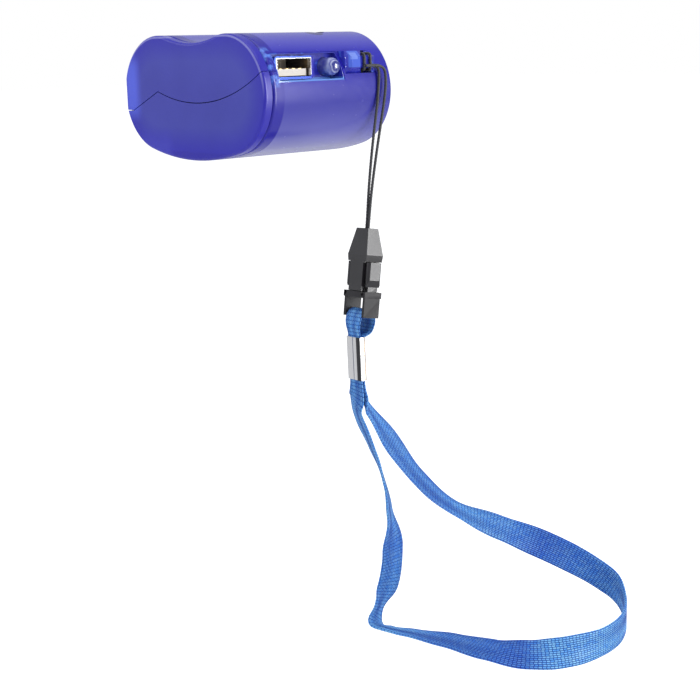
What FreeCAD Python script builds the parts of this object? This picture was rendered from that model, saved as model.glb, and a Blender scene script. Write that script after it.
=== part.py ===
import FreeCAD, Part
import math
import os

# Hand cranked phone charger with a wrist strap. Millimetres, +Z up. The origin is the middle of the
# housing, where a hand holds it. X runs along the bean shaped face towards the port end, and the
# crank face looks along -Y.

# Driving dimensions: bean shaped section in X-Z
LOBE_OFFSET = 15.5          # centre of each round end from the middle
LOBE_R = 16.5               # radius of the round ends
BELLY_DEPTH = 18.6          # lowest point below the centre
NOTCH_HEIGHT = 14.2         # bottom of the finger notch above the centre

# Housing
HOUSING_DEPTH = 45.4
WALL = 1.8
HOUSING_EDGE_R = 1.0
SEAM = 0.12                 # reveal between the two shells

# Wavy parting line of crank and housing
WAVE_END_X = 36.0
WAVE_LEFT_Z = -8.6
WAVE_PEAK_X = -15.6
WAVE_PEAK_Z = 0.55
WAVE_DIP_X = 1.8
WAVE_DIP_Z = -2.5
WAVE_RIGHT_Z = 10.2

# Crank
CRANK_GAP = 0.4             # running gap between crank and housing
CRANK_T = 2.6
CRANK_EDGE_R = 0.8
HANDLE_GAP = 0.25
SHAFT_X = 15.0
SHAFT_Z = -5.6
SHAFT_R = 1.5
SHAFT_SOCKET = 1.6          # depth of the shaft's press fit in the arm
BOSS_R = 3.0
RUN_FIT = 0.04              # radial clearance of a turning fit
BUSH_WALL = 1.0
BUSH_FLANGE_R = 5.0
BUSH_FLANGE_T = 0.5
HINGE_INSET = 2.3           # pin from the left end
HINGE_FROM_FRONT = 1.15
HINGE_R = 0.5
HINGE_TOP_COVER = 2.4       # above the pin, to the outline
HINGE_END_COVER = 1.1       # below the pin, to the outline
HINGE_HEEL_R = 1.65

# Gears
MODULE = 0.5
PRESSURE_ANGLE = 25.0
WHEEL_TEETH = 32
PINION_TEETH = 10
ADDENDUM = 0.8              # in modules
DEDENDUM = 1.05             # in modules
BACKLASH = 0.07
FLANK_STEPS = 3
GEAR_T = 2.0
LAYER_GAP = 0.6
WEB_T = 1.0
MESH_ANGLE_A = 172.0        # direction from the shaft to gear A
MESH_ANGLE_B = 196.0        # direction from gear A to gear B
MESH_ANGLE_MOTOR = 165.0    # direction from gear B to the motor
FIRST_LAYER_GAP = 1.3       # front wall to drive gear
AXLE_R = 0.75
AXLE_GRIP = 1.0
HUB_R = 1.55
HUB_END_PLAY = 0.2
PLATE_T = 1.4
PLATE_GAP = 1.0             # last gear layer to gear plate
PLATE_DROP = 0.2            # gear plate below the port window
PILLAR_R = 1.6
PILLAR_INSET = 5.4          # right hand pillar from the port end
PILLAR_RIGHT_Z = -3.2
PILLAR_LOW = (4.6, -14.6)
SCREW_R = 0.8
PLATE_HEAD_R = 1.5
PLATE_HEAD_T = 1.0
SLOT_W = 0.4
SLOT_DEPTH = 0.5
PLATE_SCREW_LEN = 5.0
CLIP_R = 2.6
CLIP_T = 0.5
SHAFT_TAIL = 0.8

# Motor, driven as a generator
MOTOR_INSET = 6.7           # smaller than the round end it lies in
MOTOR_LEN = 17.0
MOTOR_SKIN = 0.8
CAP_T = 2.4
CAP_BOSS_R = 2.0
CAP_BOSS_H = 0.8
MAGNET_T = 2.0
MAGNET_LEN = 11.0
MAGNET_SPLIT = 1.2
MAGNET_SETBACK = 1.0        # front of the can to the magnets
AIR_GAP = 0.5
ROTOR_LEN = 9.0
ROTOR_POLES = 3
ROTOR_HUB_R = 2.6
POLE_STEM = 2.0
POLE_SHOE_T = 1.2
POLE_SLOT = 2.2
COIL_T = 0.7
COIL_OVERHANG = 0.8
COIL_CLEAR = 0.5
MOTOR_SHAFT_R = 1.0
MOTOR_SCREW_OFFSET = 5.0
TERMINAL_INSET = 3.8        # tabs from the can's rim
TERMINAL_SPREAD = 3.0
TERMINAL_W = 1.0
TERMINAL_LEN = 3.0
TERMINAL_H = 1.6

# Port end
PORT_Z = 6.9                # middle height of port, light and lug
WINDOW_FRONT_Y = -20.2
WINDOW_BACK_Y = 4.2
WINDOW_BOTTOM_Z = 3.2
WINDOW_TOP_Z = 11.0
FRAME_SINK = 5.6            # port end to the outer face of the recessed plate
FRAME_T = 1.2
FRAME_WALL = 0.4            # walls of the port's tray
FRAME_REVEAL = 0.15         # tray below the housing's surface
USB_Y = -11.5
USB_W = 13.1
USB_H = 5.7
USB_SKIN = 0.4
USB_LEN = 13.6
USB_SINK = 3.9              # port end to the mouth
USB_RIM_W = 14.2
USB_RIM_H = 6.2
USB_RIM_T = 0.8
TONGUE_W = 11.2
TONGUE_T = 1.85
TONGUE_LEN = 9.0
TONGUE_RECESS = 1.4
TONGUE_FLOOR = 0.25
CONTACTS = 4
CONTACT_W = 1.0
CONTACT_PITCH = 2.33
CONTACT_LEN = 7.0
CONTACT_T = 0.15
LED_Y = 1.2
LED_R = 2.5
LED_LEN = 8.6
LED_SINK = 0.3              # port end to the tip
LED_FLANGE_R = 2.9
LED_FLANGE_T = 1.0
LEAD_R = 0.3
LEAD_PITCH = 2.54
LEAD_INSET = 1.4            # leads from the board's end
PORT_FIT = 0.1

# Circuit board and what is on it
BOARD_T = 1.1
BOARD_LEFT_X = -2.0
BOARD_CLEAR = 0.3           # board to the light's foot
BOARD_FRONT_GAP = 0.5       # front wall to the board
BOARD_BACK_GAP = 2.9        # back wall to the board
CAPACITOR_R = 3.15
CAPACITOR_LEN = 7.0
CAPACITOR_X = 4.0
CAPACITOR_INSET = 7.3       # from the back wall
CAPACITOR_NECK_R = 2.7
CAPACITOR_GROOVE = 0.5
CAPACITOR_SKIRT = 0.9
INDUCTOR_X = 5.0
INDUCTOR_Y = 4.5
INDUCTOR_R = 2.9
INDUCTOR_CORE_R = 1.4
INDUCTOR_H = 3.2
INDUCTOR_FLANGE_T = 0.6
CHIP_X = 4.5
CHIP_Y = -6.0
CHIP_W = 3.9
CHIP_LEN = 4.9
CHIP_T = 1.5
CHIP_LEGS = 4
CHIP_LEG_PITCH = 1.27
CHIP_LEG_W = 0.4
CHIP_LEG_REACH = 1.0
CHIP_LEG_T = 0.2
DIODES = 4
DIODE_X = 0.0
DIODE_Y = -9.0
DIODE_PITCH = 3.4
DIODE_R = 0.8
DIODE_LEN = 2.6
WIRE_R = 0.5
WIRE_BULGE = 3.4
WIRE_STEP = 1.8             # one lead inside the other
WIRE_PITCH = 3.0            # along the board's edge
WIRE_LAST_RUN = 3.0

# Housing screws, sunk into the ridges
RIGHT_SCREW_Y = 7.8
LEFT_SCREW_INSET = 4.7      # from the back face
RECESS_R = 2.9
RECESS_WALL = 0.9
RECESS_FLOOR_Z = 12.6
RECESS_FLOOR_T = 1.1
TOWER_R = 2.7
HOUSING_SCREW_R = 1.1
HOUSING_HEAD_R = 2.3
HOUSING_HEAD_T = 1.6
HOUSING_SCREW_LEN = 22.0
CROSS_REACH = 1.3
CROSS_W = 0.65
CROSS_DEPTH = 0.9
SCREW_CLEAR = 0.25
TOWER_PLAY = 0.1

# Strap lug
LUG_FRONT_Y = 4.9
LUG_BACK_Y = 16.4
LUG_BOTTOM_Z = 4.9
LUG_TOP_Z = 10.9
LUG_PLATE_SINK = 6.6        # port end to the inner face of the plate
LUG_PLATE_T = 1.2
LUG_BLOCK_BACK_Y = 11.3
LUG_STAND = 0.3             # block beyond the port end
LUG_BLOCK_H = 6.2
LUG_BLOCK_CHAMFER = 1.6
LUG_BAR_SINK = 3.1          # port end to the inner face of the bar
LUG_BAR_T = 2.2
LUG_BAR_H = 3.6
LUG_RISE = 1.0              # bar and block above the port's middle
LUG_BAR_EDGE_R = 0.65
LUG_END_T = 1.2

# Black cord: hitched round the lug, with two strands down to the buckle
CORD_D = 0.85
HITCH_FIRST_Y = 12.0
HITCH_PITCH = 2.4
HITCH_LIFT = 0.05
STRAND_LEFT = (
    (31.6, 14.9, 6.8), (31.6, 17.5, 6.7), (32.5, 16.95, 3.5), (32.5, 16.0, -4.0), (31.3, 14.8, -16.0),
    (29.85, 14.4, -28.5),
)
STRAND_RIGHT = (
    (32.5, 14.95, 6.8), (32.5, 18.9, 6.8), (33.2, 19.1, 2.8), (33.2, 18.1, -3.5), (32.0, 16.2, -16.0),
    (30.6, 14.9, -28.5),
)
STRAND_LAST_RUN = 5.0
STRAND_SPREAD = 0.5

# Strap line below the cord: top middle of the buckle, lean and turn
BUCKLE_TOP = (29.1, 14.35, -39.9)
STRAP_LEAN_X = 0.03
STRAP_LEAN_Y = -0.168
STRAP_TURN = -12.7

# Side release buckle
BUCKLE_W = 10.5
BUCKLE_T = 5.6
BUCKLE_TOP_W = 6.4
BUCKLE_TOP_T = 3.4
SHOULDER = 7.8
UNDERCUT = 0.4              # how far the hood draws in again below its shoulder
FEMALE_LEN = 18.3
NECK_W = 7.1
PANEL_T = 1.1
WINDOW_TOP = 9.7
BUCKLE_EDGE_R = 0.4
CORD_HOLE_R = 1.15
CORD_HOLE_DEPTH = 3.0
CAVITY_TOP = 6.0
CAVITY_W = 7.0
BASE_GAP = 0.15
BASE_W = 11.5
BASE_T = 6.2
BASE_H = 1.8
POST_INSET = 0.15           # from the side of the base
POST_W = 1.1
POST_T = 5.2
POST_LEN = 5.7
BAR_R = 0.8
BAR_DROP = 4.85
TONGUE_BUCKLE_W = 1.8
GUIDE_T = 2.4
GUIDE_TOP = 7.0
LATCH_T = 3.0
LATCH_ARM_W = 1.0
LATCH_TOP = 9.85
LATCH_BULGE_W = 0.9
LATCH_PAD_T = 4.5
LATCH_PAD_CHAMFER = 0.6
LATCH_SLIT = 0.1
LATCH_PIVOT_R = 0.5
LATCH_FOOT = 0.9            # pivot below the base's top
LATCH_SWING = 0.2           # room at the pivot's neck for the swing
LATCH_WAIST_H = 1.0
LATCH_SHOULDER_H = 1.4
LATCH_CREST_LOW = 3.4

# Webbing
RIBBON_T = 0.8
RIBBON_SOLID_R = 1.2        # plain round stand-in for the loop's flat section
FOLD_CLEAR = 0.1
FOLD_BULGE = 2.7            # how far the two legs stand out under the bar
FOLD_BULGE_DROP = 2.6
LEG_HALF = 3.4              # half the gathered width in the ferrule
FERRULE_DROP = 31.9
FERRULE_SHIFT = -1.25       # forward of the bar
FERRULE_SWING = 8.2         # hangs plumber than the buckle
FERRULE_LEN = 12.7
FERRULE_SKIN = 0.3
FERRULE_EDGE_R = 0.5
FERRULE_SEAM = 0.3
RIBBON_EXIT_SPREAD = 1.6
RIBBON_EXIT_RUN = 5.0
RIBBON_ROUTE = (
    (29.2, 7.7, -92.9), (29.7, 10.1, -99.2), (31.0, 14.1, -107.0), (31.9, 17.8, -117.1),
    (31.8, 20.2, -128.0), (31.7, 22.9, -140.4), (28.9, 22.5, -153.3), (24.2, 17.2, -164.0),
    (32.1, 15.4, -165.2), (41.7, 17.5, -164.6), (56.3, 18.6, -162.7), (71.4, 19.3, -161.3),
    (83.0, 23.4, -160.9), (90.3, 32.6, -160.7), (93.3, 45.9, -160.9), (91.0, 60.2, -159.8),
    (81.9, 69.9, -155.1), (73.4, 67.9, -149.9), (62.1, 59.2, -142.4), (51.2, 47.9, -135.0),
    (42.6, 36.6, -128.0), (37.4, 26.5, -117.0), (34.4, 17.7, -104.6), (31.8, 10.2, -93.0),
)
ARC_SHARE = 0.45

# Derived places
END_X = LOBE_OFFSET + LOBE_R
MOTOR_R = LOBE_R - MOTOR_INSET
FRAME_X = END_X - FRAME_SINK
USB_MOUTH_X = END_X - USB_SINK
LED_TIP_X = END_X - LED_SINK
LUG_PLATE_X = END_X - LUG_PLATE_SINK
LUG_BAR_X = END_X - LUG_BAR_SINK
LUG_BLOCK_X = END_X + LUG_STAND
HOUSING_FRONT = -HOUSING_DEPTH / 2
HOUSING_BACK = HOUSING_DEPTH / 2
CRANK_BACK = HOUSING_FRONT - CRANK_GAP
CRANK_FRONT = CRANK_BACK - CRANK_T
INNER_FRONT = HOUSING_FRONT + WALL
INNER_BACK = HOUSING_BACK - WALL
CAPACITOR_Y = INNER_BACK - CAPACITOR_INSET
HINGE_X = HINGE_INSET - END_X
HINGE_Y = CRANK_FRONT + HINGE_FROM_FRONT
HINGE_HALF_H = math.sqrt(HINGE_INSET * (2 * LOBE_R - HINGE_INSET))
HINGE_TOP_Z = HINGE_HALF_H - HINGE_TOP_COVER
HINGE_BOTTOM_Z = HINGE_END_COVER - HINGE_HALF_H
HEEL_X = HINGE_X + HINGE_HEEL_R
HOUSING_SCREWS = ((LOBE_OFFSET, RIGHT_SCREW_Y), (-LOBE_OFFSET, HOUSING_BACK - LEFT_SCREW_INSET))
PILLARS = ((END_X - PILLAR_INSET, PILLAR_RIGHT_Z), PILLAR_LOW)
WHEEL_PITCH_R = MODULE * WHEEL_TEETH / 2
PINION_PITCH_R = MODULE * PINION_TEETH / 2
MESH = WHEEL_PITCH_R + PINION_PITCH_R
LAYERS = [INNER_FRONT + FIRST_LAYER_GAP + layer * (GEAR_T + LAYER_GAP) for layer in range(3)]
PLATE_FRONT = LAYERS[2] + GEAR_T + PLATE_GAP
PLATE_BACK = PLATE_FRONT + PLATE_T
GEAR_A = (SHAFT_X + MESH * math.cos(math.radians(MESH_ANGLE_A)),
          SHAFT_Z + MESH * math.sin(math.radians(MESH_ANGLE_A)))
GEAR_B = (GEAR_A[0] + MESH * math.cos(math.radians(MESH_ANGLE_B)),
          GEAR_A[1] + MESH * math.sin(math.radians(MESH_ANGLE_B)))
MOTOR = (GEAR_B[0] + MESH * math.cos(math.radians(MESH_ANGLE_MOTOR)),
         GEAR_B[1] + MESH * math.sin(math.radians(MESH_ANGLE_MOTOR)))
MOTOR_BACK = PLATE_BACK + MOTOR_LEN
BOARD_BOTTOM = PORT_Z + USB_H / 2
BOARD_TOP = BOARD_BOTTOM + BOARD_T
LED_FOOT_X = LED_TIP_X - LED_LEN
BOARD_RIGHT_X = LED_FOOT_X - BOARD_CLEAR
FOLD_HALF = BASE_W / 2 - POST_INSET - POST_W - FOLD_CLEAR
FAR = 4 * LOBE_R            # larger than any section
TOLERANCE = 1e-6            # two coordinates that are the same


def vec(x, y, z):
    return FreeCAD.Vector(x, y, z)


def box(x0, x1, y0, y1, z0, z1):
    return Part.makeBox(x1 - x0, y1 - y0, z1 - z0, vec(x0, y0, z0))


def cyl_x(r, x0, x1, y, z):
    return Part.makeCylinder(r, x1 - x0, vec(x0, y, z), vec(1, 0, 0))


def cyl_y(r, y0, y1, x, z):
    return Part.makeCylinder(r, y1 - y0, vec(x, y0, z), vec(0, 1, 0))


def cyl_z(r, z0, z1, x, y):
    return Part.makeCylinder(r, z1 - z0, vec(x, y, z0), vec(0, 0, 1))


def arc(a, b, c):
    return Part.Arc(a, b, c).toShape()


def prism(points, y0, y1):
    """Straight sided outline of (x, z) points, pushed from y0 to y1."""
    corners = [vec(x, y0, z) for x, z in points]
    face = Part.Face(Part.makePolygon(corners + corners[:1]))
    return face.extrude(vec(0, y1 - y0, 0))


def bean_wire(inset, y):
    """Outline of the body at y, moved inwards by inset: two round ends, a belly arc and a notch arc."""
    drop = BELLY_DEPTH - LOBE_R
    belly_z = (LOBE_OFFSET ** 2 - drop ** 2) / (2 * drop)
    rise = LOBE_R - NOTCH_HEIGHT
    notch_z = (LOBE_OFFSET ** 2 - rise ** 2) / (2 * rise)
    end_r = LOBE_R - inset
    belly_r = belly_z + BELLY_DEPTH - inset
    notch_r = notch_z - NOTCH_HEIGHT + inset
    belly_angle = math.atan2(-belly_z, LOBE_OFFSET)
    notch_angle = math.atan2(notch_z, -LOBE_OFFSET)

    def on_end(side, angle):
        return vec(side * (LOBE_OFFSET + end_r * math.cos(angle)), y, end_r * math.sin(angle))

    low_right = on_end(1, belly_angle)
    low_left = on_end(-1, belly_angle)
    top_right = on_end(1, notch_angle)
    top_left = on_end(-1, notch_angle)
    return Part.Wire([
        arc(low_left, vec(0, y, belly_z - belly_r), low_right),
        arc(low_right, on_end(1, 0), top_right),
        arc(top_right, vec(0, y, notch_z - notch_r), top_left),
        arc(top_left, on_end(-1, 0), low_left),
    ])


def bean(inset, y0, y1):
    return Part.Face(bean_wire(inset, y0)).extrude(vec(0, y1 - y0, 0))


def soften(solid, y, radius):
    """Round the outline edges of a bean that lie in the plane y."""
    edges = [e for e in solid.Edges
             if abs(e.BoundBox.YMin - y) < TOLERANCE and abs(e.BoundBox.YMax - y) < TOLERANCE]
    return solid.makeFillet(radius, edges)


def wave_z(x):
    """Height of the straight left stretch of the parting line."""
    slope = (WAVE_PEAK_Z - WAVE_LEFT_Z) / (WAVE_PEAK_X + WAVE_END_X)
    return WAVE_PEAK_Z + slope * (x - WAVE_PEAK_X)


def above_wave(lift):
    """Everything above the parting line, moved up by lift."""
    y = -FAR
    left = vec(-WAVE_END_X, y, WAVE_LEFT_Z + lift)
    peak = vec(WAVE_PEAK_X, y, WAVE_PEAK_Z + lift)
    dip = vec(WAVE_DIP_X, y, WAVE_DIP_Z + lift)
    right = vec(WAVE_END_X, y, WAVE_RIGHT_Z + lift)
    top_right = vec(WAVE_END_X, y, FAR)
    top_left = vec(-WAVE_END_X, y, FAR)
    wire = Part.Wire([
        Part.LineSegment(left, peak).toShape(),
        arc(peak, dip, right),
        Part.LineSegment(right, top_right).toShape(),
        Part.LineSegment(top_right, top_left).toShape(),
        Part.LineSegment(top_left, left).toShape(),
    ])
    return Part.Face(wire).extrude(vec(0, 2 * FAR, 0))


def single(shape):
    """The one solid of a result, without construction seams."""
    clean = shape.removeSplitter()
    solids = clean.Solids
    if len(solids) != 1:
        raise ValueError("expected one solid, got %d" % len(solids))
    return solids[0]


# Housing

def port_window():
    return box(FRAME_X - FRAME_T, FAR, WINDOW_FRONT_Y, WINDOW_BACK_Y, WINDOW_BOTTOM_Z, WINDOW_TOP_Z)


def lug_window():
    return box(LUG_PLATE_X - PORT_FIT, FAR, LUG_FRONT_Y - PORT_FIT, LUG_BACK_Y + PORT_FIT,
               LUG_BOTTOM_Z - PORT_FIT, LUG_TOP_Z + PORT_FIT)


def housing_outer():
    solid = bean(0, HOUSING_FRONT, HOUSING_BACK)
    solid = soften(solid, HOUSING_FRONT, HOUSING_EDGE_R)
    return soften(solid, HOUSING_BACK, HOUSING_EDGE_R)


def housing_walls():
    walls = housing_outer().cut(bean(WALL, INNER_FRONT, INNER_BACK))
    walls = walls.cut(port_window())
    return walls.cut(lug_window())


def upper_shell():
    shell = housing_walls().common(above_wave(SEAM / 2))
    outer = housing_outer().common(above_wave(SEAM / 2))
    for x, y in HOUSING_SCREWS:
        cup = cyl_z(RECESS_R + RECESS_WALL, RECESS_FLOOR_Z - RECESS_FLOOR_T, FAR, x, y)
        tower = cyl_z(TOWER_R, -FAR, RECESS_FLOOR_Z, x, y)
        shell = shell.fuse(cup.fuse(tower).common(outer))
    for x, y in HOUSING_SCREWS:
        shell = shell.cut(cyl_z(RECESS_R, RECESS_FLOOR_Z, FAR, x, y))
        shell = shell.cut(cyl_z(HOUSING_SCREW_R + SCREW_CLEAR, -FAR, FAR, x, y))
    return single(shell)


def lower_shell():
    above = above_wave(-SEAM / 2)
    shell = housing_walls().cut(above)
    outer = housing_outer().cut(above)
    for x, y in HOUSING_SCREWS:
        shell = shell.fuse(cyl_z(TOWER_R, -FAR, FAR, x, y).common(outer))
    for x, z in PILLARS:
        shell = shell.fuse(cyl_y(PILLAR_R, INNER_FRONT - AXLE_GRIP, PLATE_FRONT, x, z).common(outer))
    for x, y in HOUSING_SCREWS:
        shell = shell.cut(cyl_z(HOUSING_SCREW_R, RECESS_FLOOR_Z - HOUSING_SCREW_LEN, FAR, x, y))
    for x, z in PILLARS:
        shell = shell.cut(cyl_y(SCREW_R, PLATE_BACK - PLATE_SCREW_LEN, PLATE_FRONT, x, z))
    shell = shell.cut(cyl_y(BOSS_R + RUN_FIT + BUSH_WALL, HOUSING_FRONT, INNER_FRONT, SHAFT_X, SHAFT_Z))
    for x, z in (GEAR_A, GEAR_B):
        shell = shell.cut(cyl_y(AXLE_R, INNER_FRONT - AXLE_GRIP, INNER_FRONT, x, z))
    return single(shell)


def port_frame():
    """Tray in the window: a sunk plate that the socket and the light come through, with walls round it."""
    tray = port_window().common(bean(FRAME_REVEAL, HOUSING_FRONT, HOUSING_BACK))
    tray = tray.cut(box(FRAME_X, FAR, WINDOW_FRONT_Y + FRAME_WALL, WINDOW_BACK_Y - FRAME_WALL,
                        WINDOW_BOTTOM_Z + FRAME_WALL, WINDOW_TOP_Z - FRAME_WALL))
    tray = tray.cut(box(0, FAR, USB_Y - USB_W / 2 - PORT_FIT, USB_Y + USB_W / 2 + PORT_FIT,
                        PORT_Z - USB_H / 2 - PORT_FIT, PORT_Z + USB_H / 2 + PORT_FIT))
    return single(tray.cut(cyl_x(LED_R + PORT_FIT, 0, FAR, LED_Y, PORT_Z)))


def strap_lug():
    plate = box(LUG_PLATE_X, LUG_PLATE_X + LUG_PLATE_T, LUG_FRONT_Y, LUG_BACK_Y, LUG_BOTTOM_Z, LUG_TOP_Z)
    half = LUG_BLOCK_H / 2
    bar_z = PORT_Z + LUG_RISE
    block = box(LUG_PLATE_X, LUG_BLOCK_X, LUG_FRONT_Y, LUG_BLOCK_BACK_Y, bar_z - half, bar_z + half)
    outer_edges = [e for e in block.Edges if e.BoundBox.XMin > LUG_BLOCK_X - TOLERANCE]
    block = block.makeChamfer(LUG_BLOCK_CHAMFER, outer_edges)
    bar_half = LUG_BAR_H / 2
    bar = box(LUG_BAR_X, LUG_BAR_X + LUG_BAR_T, LUG_FRONT_Y, LUG_BACK_Y, bar_z - bar_half, bar_z + bar_half)
    long_edges = [e for e in bar.Edges if e.BoundBox.YLength > LUG_BLOCK_CHAMFER]
    bar = bar.makeFillet(LUG_BAR_EDGE_R, long_edges)
    end = box(LUG_PLATE_X, LUG_BAR_X + LUG_BAR_T, LUG_BACK_Y - LUG_END_T, LUG_BACK_Y,
              LUG_BOTTOM_Z, LUG_TOP_Z).common(bean(0, HOUSING_FRONT, HOUSING_BACK))
    return single(plate.fuse([block, bar, end]))


def housing_screws():
    screws = []
    for x, y in HOUSING_SCREWS:
        head = cyl_z(HOUSING_HEAD_R, RECESS_FLOOR_Z, RECESS_FLOOR_Z + HOUSING_HEAD_T, x, y)
        shank = cyl_z(HOUSING_SCREW_R, RECESS_FLOOR_Z - HOUSING_SCREW_LEN, RECESS_FLOOR_Z, x, y)
        screw = head.fuse(shank)
        top = RECESS_FLOOR_Z + HOUSING_HEAD_T
        for turn in (0, 90):
            slot = box(-CROSS_REACH, CROSS_REACH, -CROSS_W / 2, CROSS_W / 2, top - CROSS_DEPTH, top)
            slot.rotate(vec(0, 0, 0), vec(0, 0, 1), turn)
            slot.translate(vec(x, y, 0))
            screw = screw.cut(slot)
        screws.append(single(screw))
    return Part.makeCompound(screws)


# Crank

def crank_layer():
    return soften(bean(0, CRANK_FRONT, CRANK_BACK), CRANK_FRONT, CRANK_EDGE_R)


def beside_heel(top):
    """Everything left of the heel's right side, up to a height above the wave there."""
    return box(-FAR, HEEL_X, -FAR, FAR, -FAR, wave_z(HEEL_X) + top)


def crank_arm():
    plate = crank_layer().cut(above_wave(0).cut(beside_heel(0)))
    boss_back = INNER_FRONT + BUSH_FLANGE_T
    boss = cyl_y(BOSS_R, CRANK_BACK - CRANK_T / 2, boss_back, SHAFT_X, SHAFT_Z)
    arm = plate.fuse(boss)
    arm = arm.cut(cyl_y(SHAFT_R, CRANK_BACK - SHAFT_SOCKET, boss_back, SHAFT_X, SHAFT_Z))
    return single(arm.cut(cyl_z(HINGE_R, HINGE_BOTTOM_Z, FAR, HINGE_X, HINGE_Y)))


def crank_handle():
    handle = crank_layer().common(above_wave(HANDLE_GAP))
    heel = cyl_z(HINGE_HEEL_R, -FAR, FAR, HINGE_X, HINGE_Y)
    behind = box(-FAR, HINGE_X, -FAR, FAR, -FAR, FAR).cut(heel)
    handle = handle.cut(behind).cut(beside_heel(HANDLE_GAP))
    return single(handle.cut(cyl_z(HINGE_R + RUN_FIT, -FAR, HINGE_TOP_Z, HINGE_X, HINGE_Y)))


def handle_hinge_pin():
    return cyl_z(HINGE_R, HINGE_BOTTOM_Z, HINGE_TOP_Z, HINGE_X, HINGE_Y)


def crank_bush():
    r = BOSS_R + RUN_FIT + BUSH_WALL
    back = INNER_FRONT + BUSH_FLANGE_T
    sleeve = cyl_y(r, HOUSING_FRONT, INNER_FRONT, SHAFT_X, SHAFT_Z)
    flange = cyl_y(BUSH_FLANGE_R, INNER_FRONT, back, SHAFT_X, SHAFT_Z)
    bore = cyl_y(BOSS_R + RUN_FIT, HOUSING_FRONT, back, SHAFT_X, SHAFT_Z)
    return single(sleeve.fuse(flange).cut(bore))


def crank_shaft():
    return cyl_y(SHAFT_R, CRANK_BACK - SHAFT_SOCKET, PLATE_BACK + CLIP_T + SHAFT_TAIL, SHAFT_X, SHAFT_Z)


def shaft_clip():
    start = PLATE_BACK + HUB_END_PLAY
    ring = cyl_y(CLIP_R, start, start + CLIP_T, SHAFT_X, SHAFT_Z)
    ring = ring.cut(cyl_y(SHAFT_R, start, start + CLIP_T, SHAFT_X, SHAFT_Z))
    mouth = box(SHAFT_X - SHAFT_R, SHAFT_X + SHAFT_R, start, start + CLIP_T, SHAFT_Z - CLIP_R, SHAFT_Z)
    return single(ring.cut(mouth))


# Gears

def involute(angle):
    return math.tan(angle) - angle


def gear_points(teeth, centre, tooth_at):
    """Corners of a spur gear with a tooth centred on the direction tooth_at, in degrees."""
    pitch_r = MODULE * teeth / 2
    base_r = pitch_r * math.cos(math.radians(PRESSURE_ANGLE))
    tip_r = pitch_r + ADDENDUM * MODULE
    root_r = pitch_r - DEDENDUM * MODULE
    half = (math.pi * MODULE / 2 - BACKLASH) / (2 * pitch_r) + involute(math.radians(PRESSURE_ANGLE))
    start_r = max(base_r, root_r)
    flank = []
    if root_r < base_r:
        flank.append((root_r, half))
    for step in range(FLANK_STEPS + 1):
        r = start_r + (tip_r - start_r) * step / FLANK_STEPS
        flank.append((r, half - involute(math.acos(base_r / r))))
    points = []
    for tooth in range(teeth):
        middle = math.radians(tooth_at) + 2 * math.pi * tooth / teeth
        left = [(r, middle - a) for r, a in flank]
        right = [(r, middle + a) for r, a in reversed(flank)]
        for r, angle in left + right:
            points.append((centre[0] + r * math.cos(angle), centre[1] + r * math.sin(angle)))
    return points


def spur(teeth, centre, tooth_at, y0, y1):
    return prism(gear_points(teeth, centre, tooth_at), y0, y1)


def gap_towards(teeth, direction):
    """Tooth direction that leaves a gap between teeth centred on the direction."""
    return direction + 180.0 / teeth


def drive_gear():
    y0 = LAYERS[0]
    gear = spur(WHEEL_TEETH, (SHAFT_X, SHAFT_Z), MESH_ANGLE_A, y0, y0 + GEAR_T)
    hub = cyl_y(BOSS_R, INNER_FRONT + BUSH_FLANGE_T + HUB_END_PLAY, y0 + GEAR_T, SHAFT_X, SHAFT_Z)
    web = ring_y(WHEEL_PITCH_R - 2 * MODULE, BOSS_R, y0 + WEB_T, y0 + GEAR_T, (SHAFT_X, SHAFT_Z))
    return single(gear.fuse(hub).cut(web).cut(cyl_y(SHAFT_R, -FAR, FAR, SHAFT_X, SHAFT_Z)))


def ring_y(outer_r, inner_r, y0, y1, centre):
    return cyl_y(outer_r, y0, y1, *centre).cut(cyl_y(inner_r, y0, y1, *centre))


def compound_gear(centre, pinion_from, wheel_from, pinion_tooth, wheel_tooth):
    """A pinion and a wheel in one piece, turning on an axle between front wall and gear plate."""
    pinion = spur(PINION_TEETH, centre, pinion_tooth, pinion_from, wheel_from)
    wheel = spur(WHEEL_TEETH, centre, wheel_tooth, wheel_from, wheel_from + GEAR_T)
    web = ring_y(WHEEL_PITCH_R - 2 * MODULE, PINION_PITCH_R, wheel_from + WEB_T, wheel_from + GEAR_T, centre)
    hub = cyl_y(HUB_R, INNER_FRONT + HUB_END_PLAY, PLATE_FRONT - HUB_END_PLAY, *centre)
    gear = wheel.cut(web).fuse(pinion).fuse(hub)
    return single(gear.cut(cyl_y(AXLE_R + RUN_FIT, -FAR, FAR, *centre)))


def compound_gear_a():
    back = MESH_ANGLE_A + 180.0
    return compound_gear(GEAR_A, LAYERS[0], LAYERS[1], gap_towards(PINION_TEETH, back), MESH_ANGLE_B)


def compound_gear_b():
    back = MESH_ANGLE_B + 180.0
    pinion_from = LAYERS[1] - LAYER_GAP / 2
    return compound_gear(GEAR_B, pinion_from, LAYERS[2], gap_towards(PINION_TEETH, back), MESH_ANGLE_MOTOR)


def motor_pinion():
    back = MESH_ANGLE_MOTOR + 180.0
    y0 = LAYERS[2] - LAYER_GAP / 2
    gear = spur(PINION_TEETH, MOTOR, gap_towards(PINION_TEETH, back), y0, LAYERS[2] + GEAR_T + LAYER_GAP / 2)
    return single(gear.cut(cyl_y(MOTOR_SHAFT_R, -FAR, FAR, *MOTOR)))


def gear_axles():
    return Part.makeCompound([cyl_y(AXLE_R, INNER_FRONT - AXLE_GRIP, PLATE_BACK, *centre)
                              for centre in (GEAR_A, GEAR_B)])


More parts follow.
